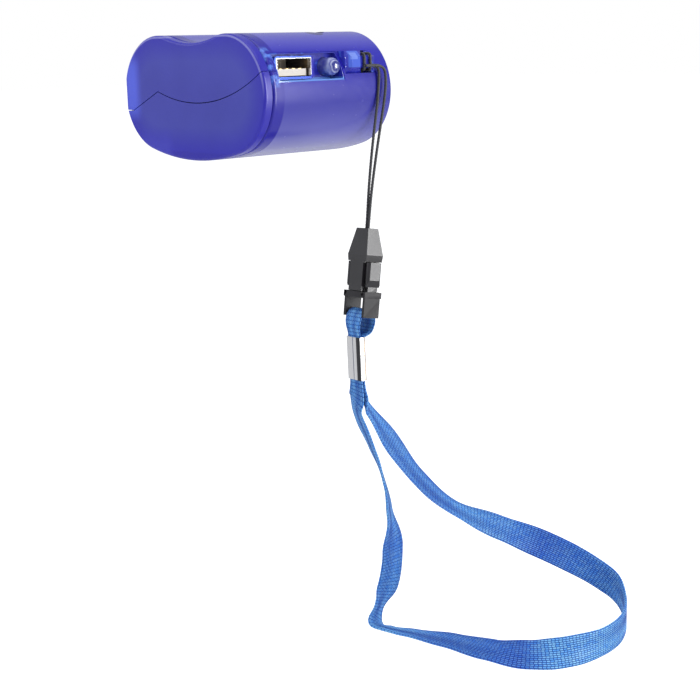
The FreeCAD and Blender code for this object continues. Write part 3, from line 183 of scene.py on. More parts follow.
def band(tree, source, low, high, fade):
    """1 between low and high, fading on both sides."""
    rise = soft_step(tree, source, low - fade, low)
    fall = soft_step(tree, source, high + fade, high)
    return times(tree, rise, fall)


def within_box(tree, axes, spans, fades, mask=None):
    """The mask, or 1 where none is given, kept to the box of these spans, in millimetres."""
    for source, (low, high), fade in zip(axes, spans, fades):
        inside = band(tree, source, low * MM, high * MM, fade * MM)
        mask = inside if mask is None else times(tree, mask, inside)
    return mask


def object_axes(tree):
    """Object coordinates, which are those of the row frame on every CAD node."""
    coords = add(tree, "ShaderNodeTexCoord")
    axes = add(tree, "ShaderNodeSeparateXYZ")
    tree.links.new(coords.outputs["Object"], axes.inputs["Vector"])
    return axes.outputs["X"], axes.outputs["Y"], axes.outputs["Z"]


def tint_where(tree, base, mask, colour):
    """Base colour, going over to the colour where the mask is 1."""
    node = add(tree, "ShaderNodeMix", data_type="RGBA")
    node.inputs["B"].default_value = (*colour, 1)
    tree.links.new(mask, node.inputs["Factor"])
    tree.links.new(base, node.inputs["A"])
    return node.outputs["Result"]


def shade_with(tree, colour, shade):
    """Product of two colours."""
    node = add(tree, "ShaderNodeMix", data_type="RGBA", blend_type="MULTIPLY")
    node.inputs["Factor"].default_value = 1.0
    tree.links.new(colour, node.inputs["A"])
    tree.links.new(shade, node.inputs["B"])
    return node.outputs["Result"]


# Materials: spans, middles and half sizes are in millimetres of the row frame

# Scales of the noise, in cells per metre, and the detail of the busier ones
FLOW_SCALE = 70.0
HAZE_SCALE = 500.0
RIPPLE_SCALE = 220.0
SPARKLE_SCALE = 700.0
PATCH_SCALE = 420.0
BRUSH_SCALE = 600.0
CLOUD_SCALE = 120.0
GRAIN_SCALE = 1400.0
FUZZ_SCALE = 2600.0
WEAR_SCALE = 60.0
FLOOR_SCALE = 30.0
BUSY = 3.0
# Stretches of the noise
FLOW_STRETCH = (1.0, 0.5, 1.0)
FINE_IN_X = (20, 1, 1)
FINE_IN_Z = (1, 1, 30)
# How far roughness spreads over a surface, and how far bumps stand out
CLEAR_SPREAD = 0.1
DULL_SPREAD = 0.12
FINE_BUMP = 0.0001
COARSE_BUMP = 0.0003

LOBE_OFFSET = 15.5 * MM
LOBE_R = 16.5 * MM
FLOW_SHADES = ((0.3, (0.86, 0.86, 0.92)), (0.7, (1, 1, 1)))
# Crank: painted light and shade from the middle of the section to its outline, and a painted highlight
# line just inside that
CRANK_LIGHT_AND_SHADE = ((0.0, (0.050, 0.055, 0.43)), (0.55, (0.054, 0.062, 0.45)), (0.82, (0.034, 0.033, 0.46)),
                (0.96, (0.026, 0.022, 0.47)), (1.0, (0.022, 0.016, 0.42)))
# Painted highlight line just inside the crank's outline: where it sits on the outline, its fade,
# heights and tint
RIM_HIGHLIGHT_SHARES = (0.955, 0.975)
RIM_HIGHLIGHT_FADE = 0.012
RIM_HIGHLIGHT_HEIGHTS = (-2.0, 6.0)
RIM_HIGHLIGHT_TINT = (0.20, 0.20, 0.62)
# Light gathered at the crank's left end and along its lower edge: spans across and up, and the colour
EDGE_GLOWS = ((((-29.2, -27.4), (-3.0, 7.0)), (0.095, 0.135, 0.82)),
              (((-22.0, -13.0), (-15.5, -15.0)), (0.045, 0.045, 0.52)))
GLOW_FADES = (4.5, 6.0)
# Body: painted light and shade from its underside up to its top
BODY_HEIGHTS = (-19.0, 17.0)
BODY_LIGHT_AND_SHADE = ((0.0, (0.23, 0.23, 0.54)), (0.12, (0.12, 0.12, 0.47)), (0.42, (0.034, 0.033, 0.37)),
               (0.62, (0.028, 0.025, 0.39)), (0.76, (0.016, 0.013, 0.40)), (0.93, (0.020, 0.018, 0.43)),
               (1.0, (0.095, 0.090, 0.54)))
# Painted shade: a dark band behind the crank
FRONT_SHADE_BAND = (-23.0, -19.0)
FRONT_SHADE_FADE = 0.6
FRONT_SHADE_TINT = (0.015, 0.010, 0.35)
# Light breaking up in the corner beside the port: spans in x, y and z
SPARKLE = ((25.0, 32.5), (-24.0, -20.4), (3.0, 11.5))
SPARKLE_FADES = (2.0, 0.8, 1.5)
SPARKLE_CUT = (0.36, 0.68)   # of the noise that breaks it up
SPARKLE_TINT = (0.11, 0.25, 0.84)
# Painted shade in the screw wells, and on the wall of the near one as the clear ridge shows it: middle,
# half sizes, heights and colour of each
PAINTED_WELL_SHADES = (((15.5, 7.8), (2.98, 2.98), (2.0, 16.6), (0.010, 0.008, 0.11)),
         ((-15.5, 18.0), (2.98, 2.98), (2.0, 16.6), (0.010, 0.008, 0.11)),
         ((18.7, 4.8), (2.3, 2.9), (14.0, 16.6), (0.028, 0.024, 0.24)))
WELL_FADE = 0.2
WELL_EDGE = (1.0, 0.95)      # of the squared distance from the middle, as a share of the half sizes
# Small clear blue mouldings: deep blue, with patches of painted highlight
CLEAR_PATCHY_HIGHLIGHTS = ((0.35, (0.022, 0.022, 0.40)), (0.60, (0.034, 0.045, 0.50)), (0.68, (0.060, 0.13, 0.68)))
CLEAR_FADES = (0.25, 0.25, 0.25)
# Parts of them in which light gathers: spans in x, y and z, and the colour
FRAME_GLOWS = ((((20.0, 33.0), (-21.0, -17.6), (2.0, 12.0)), (0.055, 0.12, 0.66)),
               (((20.0, 33.0), (-21.0, 5.0), (2.0, 3.9)), (0.13, 0.30, 0.80)))
LUG_GLOWS = ((((30.2, 33.0), (5.9, 9.7), (6.6, 11.2)), (0.060, 0.13, 0.70)),
             (((30.2, 33.0), (6.3, 8.6), (8.8, 10.4)), (0.16, 0.26, 0.82)))


def outline_share(tree, x, z):
    """0 along the middle of the bean shaped section, 1 on the outline of its round ends."""
    beside = calculate(tree, "SUBTRACT", calculate(tree, "ABSOLUTE", x), LOBE_OFFSET)
    beside = calculate(tree, "MAXIMUM", beside, 0.0)
    return calculate(tree, "DIVIDE", calculate(tree, "SQRT", square_sum(tree, beside, z)), LOBE_R)


def finish_blue(tree, shader, colour, roughness):
    """Frosted gloss of the tinted moulding: flow marks in the colour, a soft grain in the surface."""
    flow = object_noise(tree, FLOW_SCALE, BUSY, FLOW_STRETCH)
    tree.links.new(shade_with(tree, colour, ramp(tree, flow, FLOW_SHADES)), shader.inputs["Base Color"])
    shader.inputs["IOR"].default_value = 1.46
    haze = object_noise(tree, HAZE_SCALE)
    vary(tree, shader, "Roughness", haze, roughness, roughness + CLEAR_SPREAD)
    add_bump(tree, shader, object_noise(tree, RIPPLE_SCALE), 0.05, COARSE_BUMP)


def blue_crank():
    """Thick clear plate over the dark inside of the body: painted light and shade from its middle to
    its outline, where light gathers, and a painted highlight line.
    """
    mat, tree, shader = new_material("blue_crank")
    x, _, z = object_axes(tree)
    share = outline_share(tree, x, z)
    # Painted light and shade from the middle of the section to its outline
    colour = ramp(tree, share, CRANK_LIGHT_AND_SHADE)
    # Painted highlight line just inside the outline, on the upper part of it
    low, high = RIM_HIGHLIGHT_HEIGHTS
    rim_highlight = times(tree, band(tree, share, *RIM_HIGHLIGHT_SHARES, RIM_HIGHLIGHT_FADE), soft_step(tree, z, low * MM, high * MM))
    colour = tint_where(tree, colour, rim_highlight, RIM_HIGHLIGHT_TINT)
    for spans, tint in EDGE_GLOWS:
        colour = tint_where(tree, colour, within_box(tree, (x, z), spans, GLOW_FADES), tint)
    finish_blue(tree, shader, colour, 0.26)
    return mat


def well_mask(tree, x, y, z, middle, radii, heights):
    """1 inside an upright elliptic well."""
    offsets = []
    for source, centre, radius in zip((x, y), middle, radii):
        offset = calculate(tree, "SUBTRACT", source, centre * MM)
        offsets.append(calculate(tree, "DIVIDE", offset, radius * MM))
    inside = soft_step(tree, square_sum(tree, *offsets), *WELL_EDGE)
    return within_box(tree, (z,), (heights,), (WELL_FADE,), inside)


def blue_body():
    """Clear shell with painted light and shade: paler below and at the top, deep blue between, painted
    shade behind the crank and in the screw wells, and painted sparkle beside the port.
    """
    mat, tree, shader = new_material("blue_body")
    x, y, z = object_axes(tree)
    low, high = BODY_HEIGHTS
    # Painted light and shade: paler at the underside and the top, deep blue between
    colour = ramp(tree, soft_step(tree, z, low * MM, high * MM), BODY_LIGHT_AND_SHADE)
    # Painted shade in a band behind the crank
    front = within_box(tree, (y,), (FRONT_SHADE_BAND,), (FRONT_SHADE_FADE,))
    colour = tint_where(tree, colour, front, FRONT_SHADE_TINT)
    sparkle = soft_step(tree, object_noise(tree, SPARKLE_SCALE, BUSY), *SPARKLE_CUT)
    sparkle = within_box(tree, (x, y, z), SPARKLE, SPARKLE_FADES, sparkle)
    colour = tint_where(tree, colour, sparkle, SPARKLE_TINT)
    # Painted shade in the screw wells and on the near well's wall
    for middle, radii, heights, tint in PAINTED_WELL_SHADES:
        well = well_mask(tree, x, y, z, middle, radii, heights)
        colour = tint_where(tree, colour, well, tint)
    finish_blue(tree, shader, colour, 0.2)
    return mat


def blue_clear(name, roughness, glows):
    """Small clear blue moulding: deep blue with patches of painted highlight, and light gathered in
    some parts of it.
    """
    mat, tree, shader = new_material(name)
    axes = object_axes(tree)
    patches = object_noise(tree, PATCH_SCALE)
    # Patches of painted highlight over the deep blue
    colour = ramp(tree, patches, CLEAR_PATCHY_HIGHLIGHTS)
    for spans, tint in glows:
        colour = tint_where(tree, colour, within_box(tree, axes, spans, CLEAR_FADES), tint)
    tree.links.new(colour, shader.inputs["Base Color"])
    shader.inputs["IOR"].default_value = 1.5
    shader.inputs["Coat Weight"].default_value = 0.4
    vary(tree, shader, "Roughness", patches, roughness, roughness + CLEAR_SPREAD)
    add_bump(tree, shader, patches, 0.1, COARSE_BUMP)
    return mat


def finish_metal(tree, shader, colour, brushed, roughness, bump):
    """Bare metal of this colour with brush marks."""
    tree.links.new(colour, shader.inputs["Base Color"])
    shader.inputs["Metallic"].default_value = 1.0
    vary(tree, shader, "Roughness", brushed, *roughness)
    add_bump(tree, shader, brushed, bump, FINE_BUMP)


def metal(name, colour, roughness):
    """Metal whose brush marks also go darker."""
    mat, tree, shader = new_material(name)
    brushed = object_noise(tree, BRUSH_SCALE, BUSY, FINE_IN_Z)
    dark = tuple(c * 0.8 for c in colour)
    shades = ramp(tree, brushed, ((0.3, dark), (0.7, colour)))
    finish_metal(tree, shader, shades, brushed, (roughness, roughness + DULL_SPREAD), 0.08)
    return mat


# USB socket: painted shade from its inside to its mouth, with a painted brownish reflection near the
# mouth, and the painted shades, blue and dark, of the mouth's outer edges, each with the axis and the
# two ends of its fade
SOCKET_DEPTH = (21.5, 27.9)
SOCKET_PAINTED_SHADE = ((0.0, (0.035, 0.033, 0.038)), (0.55, (0.080, 0.068, 0.060)),
                 (0.86, (0.20, 0.16, 0.11)), (0.97, (0.62, 0.62, 0.64)))
MOUTH_AT = (27.6, 27.8)
MOUTH_BLUE_SHADE = (0.06, 0.10, 0.42)
MOUTH_DARK_SHADE = (0.03, 0.03, 0.22)
MOUTH_EDGE_SHADES = (("z", 5.0, 4.8, MOUTH_BLUE_SHADE), ("z", 9.5, 9.6, MOUTH_BLUE_SHADE),
               ("y", -18.0, -18.1, MOUTH_BLUE_SHADE), ("y", -5.3, -5.1, MOUTH_DARK_SHADE))


def usb_metal():
    """Bright plated sheet with painted shade that darkens it with the depth of the socket, and painted
    shade on the mouth's outer edges.
    """
    mat, tree, shader = new_material("usb_sheet")
    axes = dict(zip("xyz", object_axes(tree)))
    brushed = object_noise(tree, BRUSH_SCALE, BUSY, FINE_IN_X)
    depth, mouth = [soft_step(tree, axes["x"], low * MM, high * MM)
                    for low, high in (SOCKET_DEPTH, MOUTH_AT)]
    # Painted shade deeper in the socket, with a painted brownish reflection near the mouth
    colour = ramp(tree, depth, SOCKET_PAINTED_SHADE)
    # Painted shade, blue and dark, on the mouth's outer edges
    for axis, low, high, tint in MOUTH_EDGE_SHADES:
        edge = times(tree, mouth, soft_step(tree, axes[axis], low * MM, high * MM))
        colour = tint_where(tree, colour, edge, tint)
    finish_metal(tree, shader, colour, brushed, (0.18, 0.3), 0.05)
    return mat


FERRULE_SHADES = ((0.3, (0.66, 0.66, 0.67)), (0.7, (0.76, 0.75, 0.75)))
# Ferrule, in its own frame: spans in x and y of the painted dark reflection on the rounded front corner
# and of the seam at its side, and the two ends of the fades that bound the painted highlight on its
# side
CORNER = ((2.0, 3.5), (-2.0, -0.7))
CORNER_FADES = (0.3, 0.1)
CORNER_REFLECTION_TINT = (0.035, 0.035, 0.040)
SIDE_X = (3.5, 3.7)
SIDE_Y = (0.2, 0.1)
SIDE_HIGHLIGHT_TINT = (0.86, 0.85, 0.84)
SEAM = ((3.2, 4.5), (0.25, 2.0))
SEAM_FADES = (0.1, 0.1)
SEAM_TINT = (0.22, 0.18, 0.15)


def ferrule_axes(tree):
    """The ferrule's own x and y, from the row frame's coordinates."""
    coords = add(tree, "ShaderNodeTexCoord")
    local = []
    for direction in list(FERRULE_FRAME.to_3x3().col)[:2]:
        dot = add(tree, "ShaderNodeVectorMath", operation="DOT_PRODUCT")
        dot.inputs[1].default_value = direction
        tree.links.new(coords.outputs["Object"], dot.inputs[0])
        start = direction.dot(FERRULE_FRAME.translation) * MM
        local.append(calculate(tree, "SUBTRACT", dot.outputs["Value"], start))
    return local


def ferrule_sheet():
    """Plated sheet, with a painted dark reflection along the rounded corner of its front, a painted
    highlight on its side, and darker at the seam in its side.
    """
    mat, tree, shader = new_material("ferrule_sheet")
    x, y = ferrule_axes(tree)
    brushed = object_noise(tree, BRUSH_SCALE, BUSY, FINE_IN_Z)
    colour = ramp(tree, brushed, FERRULE_SHADES)
    # Painted dark reflection along the rounded front corner
    colour = tint_where(tree, colour, within_box(tree, (x, y), CORNER, CORNER_FADES), CORNER_REFLECTION_TINT)
    # Painted highlight on the side
    edges = [soft_step(tree, source, low * MM, high * MM)
             for source, (low, high) in ((x, SIDE_X), (y, SIDE_Y))]
    colour = tint_where(tree, colour, times(tree, *edges), SIDE_HIGHLIGHT_TINT)
    colour = tint_where(tree, colour, within_box(tree, (x, y), SEAM, SEAM_FADES), SEAM_TINT)
    finish_metal(tree, shader, colour, brushed, (0.24, 0.36), 0.08)
    return mat


def moulded(name, dark, light, roughness, gloss=0.5):
    """Opaque plastic, or paint, with a faint cloud in its colour and a fine grain."""
    mat, tree, shader = new_material(name)
    shader.inputs["Specular IOR Level"].default_value = gloss
    cloud = object_noise(tree, CLOUD_SCALE, BUSY)
    tree.links.new(ramp(tree, cloud, ((0.3, dark), (0.75, light))), shader.inputs["Base Color"])
    vary(tree, shader, "Roughness", cloud, roughness, roughness + DULL_SPREAD)
    add_bump(tree, shader, object_noise(tree, GRAIN_SCALE), 0.15, FINE_BUMP)
    return mat


# LED: its axis in y and z, and the rings of light round it out to its reach
LED_AXIS = (1.2, 6.9)
RING_REACH = 3.4
RING_WOBBLE = 0.9
RING_SHADES = ((0.0, (0.10, 0.13, 0.50)), (0.16, (0.62, 0.68, 0.90)), (0.24, (0.05, 0.06, 0.36)),
               (0.55, (0.04, 0.05, 0.34)), (0.66, (0.55, 0.60, 0.88)), (0.76, (0.09, 0.11, 0.50)),
               (0.90, (0.40, 0.46, 0.85)), (1.0, (0.05, 0.05, 0.40)))
LENS_OPACITY = 0.75
LENS_TINT = (0.72, 0.78, 1.0, 1.0)


def clear_lens():
    """Clear bulb: rings of light and the bluish inside of it, under a glossy skin."""
    mat, tree, shader = new_material("clear_lens")
    _, y, z = object_axes(tree)
    beside = calculate(tree, "SUBTRACT", y, LED_AXIS[0] * MM)
    above = calculate(tree, "SUBTRACT", z, LED_AXIS[1] * MM)
    wobble = times(tree, object_noise(tree, HAZE_SCALE), RING_WOBBLE * MM)
    radius = calculate(tree, "ADD", calculate(tree, "SQRT", square_sum(tree, beside, above)), wobble)
    rings = ramp(tree, soft_step(tree, radius, 0.0, RING_REACH * MM), RING_SHADES)
    tree.links.new(rings, shader.inputs["Base Color"])
    shader.inputs["Coat Weight"].default_value = 1.0
    shader.inputs["Coat Roughness"].default_value = 0.02
    shader.inputs["Roughness"].default_value = 0.08
    shader.inputs["IOR"].default_value = 1.5
    clear = add(tree, "ShaderNodeBsdfTransparent", Color=LENS_TINT)
    mixed = add(tree, "ShaderNodeMixShader", Fac=LENS_OPACITY)
    tree.links.new(clear.outputs["BSDF"], mixed.inputs[1])
    tree.links.new(shader.outputs["BSDF"], mixed.inputs[2])
    tree.links.new(mixed.outputs["Shader"], tree.nodes["Material Output"].inputs["Surface"])
    return mat


BLUE_CRANK = blue_crank()
BLUE_BODY = blue_body()
BLUE_FRAME = blue_clear("blue_frame", 0.12, FRAME_GLOWS)
BLUE_LUG = blue_clear("blue_lug", 0.08, LUG_GLOWS)
STEEL = metal("steel", (0.72, 0.73, 0.75), 0.25)
BRASS = metal("brass", (0.80, 0.60, 0.30), 0.25)
COPPER = metal("copper", (0.72, 0.36, 0.18), 0.3)
CAN = metal("zinc_can", (0.62, 0.63, 0.65), 0.35)
USB_SHEET = usb_metal()
FERRULE = ferrule_sheet()
ACETAL = moulded("acetal", (0.78, 0.78, 0.75), (0.86, 0.86, 0.83), 0.4)
PLATE = moulded("grey_plate", (0.45, 0.47, 0.55), (0.55, 0.57, 0.64), 0.45)
BLACK = moulded("black_moulding", (0.014, 0.013, 0.016), (0.028, 0.026, 0.030), 0.28)
BLACK_DULL = moulded("black_dull", (0.012, 0.011, 0.014), (0.024, 0.022, 0.026), 0.4, gloss=0.25)
FERRITE = moulded("ferrite", (0.05, 0.05, 0.06), (0.09, 0.09, 0.1), 0.6)
BOARD = moulded("board", (0.04, 0.20, 0.11), (0.06, 0.28, 0.16), 0.35)
CREAM = moulded("cream", (0.80, 0.72, 0.60), (0.88, 0.80, 0.68), 0.4)
WIRE = moulded("red_wire", (0.50, 0.04, 0.03), (0.62, 0.07, 0.05), 0.45)
LENS_CLEAR = clear_lens()

NODE_MATERIALS = {
    BLUE_CRANK: "crank_arm crank_handle",
    BLUE_BODY: "upper_shell lower_shell",
    BLUE_FRAME: "port_frame",
    BLUE_LUG: "strap_lug",
    STEEL: "housing_screws plate_screws motor_screws handle_hinge_pin crank_shaft shaft_clip gear_axles"
           " motor_shaft led_leads",
    BRASS: "crank_bush motor_pinion usb_contacts",
    COPPER: "motor_windings",
    CAN: "motor_can motor_rotor",
    USB_SHEET: "usb_shell",
    FERRULE: "ribbon_ferrule",
    ACETAL: "drive_gear compound_gear_a compound_gear_b",
    PLATE: "gear_plate",
    BLACK: "motor_end_cap regulator_chip diodes smoothing_capacitor buckle_female buckle_latch_left"
           " buckle_latch_right",
    BLACK_DULL: "buckle_male",
    FERRITE: "motor_magnets inductor",
    BOARD: "circuit_board",
    CREAM: "usb_tongue",
    WIRE: "motor_wires",
    LENS_CLEAR: "led",
}
for material, names in NODE_MATERIALS.items():
    for name in names.split():
        for slot in nodes[name].material_slots:
            slot.material = material


MOULDED_ROUND = 0.22 * MM
CLEAR_ROUND = 0.18 * MM
ROUND_SEGMENTS = 2
ROUNDED_FROM = math.radians(32)  # least angle between two faces whose edge is rounded
WELD_GAP = 1e-6


def soften_edges(names, width):
    """Small rounds on the sharp edges of moulded and folded parts, which catch the light."""
    for name in names.split():
        weld = nodes[name].modifiers.new("weld", "WELD")
        weld.merge_threshold = WELD_GAP
        bevel = nodes[name].modifiers.new("edge_rounds", "BEVEL")
        bevel.width = width
        bevel.segments = ROUND_SEGMENTS
        bevel.limit_method = "ANGLE"
        bevel.angle_limit = ROUNDED_FROM
        bevel.harden_normals = True


soften_edges("buckle_female buckle_male buckle_latch_left buckle_latch_right", MOULDED_ROUND)
soften_edges("strap_lug port_frame", CLEAR_ROUND)


# Centrelines and swept meshes of the cord and the ribbon

def row_points(points):
    return [Vector(p) * MM for p in points]


def strap_point(x, y, z):
    """Row frame point, in metres, of millimetres in the strap's frame."""
    return STRAP @ Vector((x, y, z)) * MM


def ferrule_point(x, y, z):
    """The same from the ferrule's frame."""
    return FERRULE_FRAME @ Vector((x, y, z)) * MM


CURVE_RESOLUTION = 24


def centreline(name, points):
    """Points along the open NURBS spline that has these control points."""
    data = bpy.data.curves.new(name, "CURVE")
    data.dimensions = "3D"
    data.resolution_u = CURVE_RESOLUTION
    spline = data.splines.new("NURBS")
    spline.points.add(len(points) - 1)
    for place, point in zip(spline.points, points):
        place.co = (*point, 1)
    spline.order_u = 3
    spline.use_endpoint_u = True
    curve = bpy.data.objects.new(name, data)
    mesh = bpy.data.meshes.new_from_object(curve)
    line = [v.co.copy() for v in mesh.vertices]
    bpy.data.objects.remove(curve)
    bpy.data.curves.remove(data)
    bpy.data.meshes.remove(mesh)
    return line


def resample(line, step):
    """The same line with points about a step apart, and its length."""
    lengths = [0.0]
    for a, b in zip(line, line[1:]):
        lengths.append(lengths[-1] + (b - a).length)
    total = lengths[-1]
    count = max(2, round(total / step))
    out = []
    i = 0
    for k in range(count + 1):
        target = total * k / count
        while i < len(line) - 2 and lengths[i + 1] < target:
            i += 1
        span = lengths[i + 1] - lengths[i]
        share = (target - lengths[i]) / span if span else 0.0
        out.append(line[i].lerp(line[i + 1], share))
    return out, total


def tangents(line):
    """Direction of the open line at each of its points."""
    out = []
    for i in range(len(line)):
        a = line[max(i - 1, 0)]
        b = line[min(i + 1, len(line) - 1)]
        out.append((b - a).normalized())
    return out


def mesh_object(name, verts, faces, material, uvs=None, smooth=True):
    """Linked mesh object. uvs gives the corners of a polygon's UV."""
    mesh = bpy.data.meshes.new(name)
    mesh.from_pydata(verts, [], faces)
    mesh.materials.append(material)
    if uvs is not None:
        layer = mesh.uv_layers.new(name="UVMap")
        for poly in mesh.polygons:
            for loop, corner in zip(poly.loop_indices, uvs(poly)):
                layer.data[loop].uv = corner
    for poly in mesh.polygons:
        poly.use_smooth = smooth
    obj = bpy.data.objects.new(name, mesh)
    bpy.context.scene.collection.objects.link(obj)
    return obj


def tube_faces(count, sides, closed=False, start=0):
    """Faces of a tube of this many rings, with caps where it isn't closed into a ring itself."""
    faces = []
    for i in range(count if closed else count - 1):
        here = start + i * sides
        there = start + (i + 1) % count * sides
        for k in range(sides):
            n = (k + 1) % sides
            faces.append((here + k, here + n, there + n, there + k))
    if not closed:
        last = start + (count - 1) * sides
        faces.append(tuple(start + k for k in reversed(range(sides))))
        faces.append(tuple(last + k for k in range(sides)))
    return faces


def sweep(name, rings, material, lengths):
    """Open tube of rings of the same number of points, with a UV of length along and share around."""
    sides = len(rings[0])
    verts = [p for ring in rings for p in ring]
    quads = (len(rings) - 1) * sides

    def uvs(poly):
        if poly.index >= quads:
            return [(0, 0)] * len(poly.vertices)
        i, k = divmod(poly.index, sides)
        a, b = lengths[i], lengths[i + 1]
        return [(a, k / sides), (a, (k + 1) / sides), (b, (k + 1) / sides), (b, k / sides)]

    return mesh_object(name, verts, tube_faces(len(rings), sides), material, uvs)


# Black cord

CORD_R = 0.425 * MM
PLY_TURN = 2.85 * MM         # along the cord, for one full turn of a ply
PLIES = 3
PLY_DEPTH = 0.12
STRAND_LEFT = (
    (31.6, 14.9, 6.8), (31.6, 17.5, 6.7), (32.5, 16.95, 3.5), (32.5, 16.0, -4.0), (31.3, 14.8, -16.0),
    (29.85, 14.4, -28.5),
)
STRAND_RIGHT = (
    (32.5, 14.95, 6.8), (32.5, 18.9, 6.8), (33.2, 19.1, 2.8), (33.2, 18.1, -3.5), (32.0, 16.2, -16.0),
    (30.6, 14.9, -28.5),
)
# Where the strands go into the buckle, in the strap's frame: to each side, how deep, and the length of
# the straight run above that
STRAND_SPREAD = 0.5
STRAND_SEAT = -3.0
STRAND_LAST_RUN = 5.0
CORD_SIDES = 18
CORD_STEP = 0.2 * MM
ARC_STEPS = 6                # points of a quarter turn
# The hitch: two wraps round the lug and the bight across them
WRAP_Y = (12.0, 14.4)
WRAP_X = (28.425, 31.575)
WRAP_Z = (5.625, 10.175)
WRAP_CORNER = 0.85
BIGHT_FROM = (32.5, 11.575, 6.8)
BIGHT_TO = (32.5, 14.95, 6.8)
CORD_SHADES = ((0.3, (0.012, 0.012, 0.014)), (0.75, (0.045, 0.045, 0.05)))


def cord_material():
    mat, tree, shader = new_material("black_cord")
    fuzz = object_noise(tree, FUZZ_SCALE, BUSY)
    tree.links.new(ramp(tree, fuzz, CORD_SHADES), shader.inputs["Base Color"])
    shader.inputs["Sheen Weight"].default_value = 0.3
    shader.inputs["Sheen Roughness"].default_value = 0.4
    vary(tree, shader, "Roughness", fuzz, 0.5, 0.75)
    add_bump(tree, shader, fuzz, 0.3, FINE_BUMP)
    return mat


CORD = cord_material()


def cord_rings(line, closed=False):
    """Cross-sections of a cord laid up from twisted plies."""
    count = len(line)
    if closed:
        heading = [(line[(i + 1) % count] - line[i - 1]).normalized() for i in range(count)]
    else:
        heading = tangents(line)
    side = heading[0].orthogonal().normalized()
    rings = []
    lengths = []
    run = 0.0
    for i, (point, tangent) in enumerate(zip(line, heading)):
        if i:
            run += (point - line[i - 1]).length
        side = (side - tangent * side.dot(tangent)).normalized()
        other = tangent.cross(side)
        ring = []
        for k in range(CORD_SIDES):
            angle = 2 * math.pi * k / CORD_SIDES
            ply = math.cos(PLIES * (angle - 2 * math.pi * run / PLY_TURN))
            r = CORD_R * (1 - PLY_DEPTH * (1 - ply) / 2)
            ring.append(point + (side * math.cos(angle) + other * math.sin(angle)) * r)
        rings.append(ring)
        lengths.append(run)
    return rings, lengths


def arc_points(centre, first, last):
    """Points of a quarter turn from first to last, both vectors of the arc's radius."""
    out = []
    for k in range(ARC_STEPS + 1):
        angle = math.pi / 2 * k / ARC_STEPS
        out.append(centre + first * math.cos(angle) + last * math.sin(angle))
    return out


def wrap_line(y):
    """Closed line of one wrap round the lug, with rounded corners."""
    (x0, x1), (z0, z1) = WRAP_X, WRAP_Z
    r = WRAP_CORNER
    right, up = Vector((r, 0, 0)), Vector((0, 0, r))
    points = []
    for x, z, first, last in ((x1 - r, z1 - r, right, up), (x0 + r, z1 - r, up, -right),
                              (x0 + r, z0 + r, -right, -up), (x1 - r, z0 + r, -up, right)):
        points += arc_points(Vector((x, y, z)), first, last)
    line, _ = resample([p * MM for p in points + points[:1]], CORD_STEP)
    return line[:-1]


def make_hitch():
    """The two wraps and the bight, one piece of twisted cord."""
    verts = []
    faces = []
    parts = [(wrap_line(y), True) for y in WRAP_Y]
    bight, _ = resample(row_points((BIGHT_FROM, BIGHT_TO)), CORD_STEP)
    parts.append((bight, False))
    for line, closed in parts:
        rings, _ = cord_rings(line, closed)
        faces += tube_faces(len(rings), CORD_SIDES, closed, len(verts))
        verts += [p for ring in rings for p in ring]
    hitch = mesh_object("cord_hitch", verts, faces, CORD)
    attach(hitch, "housing")
    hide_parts("strap_hitch")
    return hitch


def make_strand(name, node, route, side, pieces=()):
    """A strand from the hitch into the buckle, left (-1) or right (1) of its middle."""
    above = strap_point(side * STRAND_SPREAD, 0, STRAND_SEAT + STRAND_LAST_RUN)
    seat = strap_point(side * STRAND_SPREAD, 0, STRAND_SEAT)
    line, length = resample(centreline(name, row_points(route) + [above, seat]), CORD_STEP)
    rings, lengths = cord_rings(line)
    strand = sweep(name, rings, CORD, lengths)
    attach(strand, "housing")
    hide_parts(node)


make_strand("cord_left", "strap_strand_left", STRAND_LEFT, -1, [make_hitch()])
make_strand("cord_right", "strap_strand_right", STRAND_RIGHT, 1)


# Woven ribbon

RIBBON_HALF_W = 4.5 * MM
RIBBON_HALF_T = 0.4 * MM
RIBBON_STEP = 0.4 * MM
GATHER_HALF_W = 3.3 * MM     # where the ferrule squeezes it
GATHER_RUN = 9.0 * MM
RIBS = 15                    # lengthwise ribs on each face
RIB_DEPTH = 0.11 * MM
POINTS_PER_RIB = 4
EDGE_STEPS = 4               # round each edge
RIBBON_EXIT_RUN = 5.0        # straight out of the ferrule
LEG_SHIFT = 0.42             # middle of a leg from the middle of the ferrule
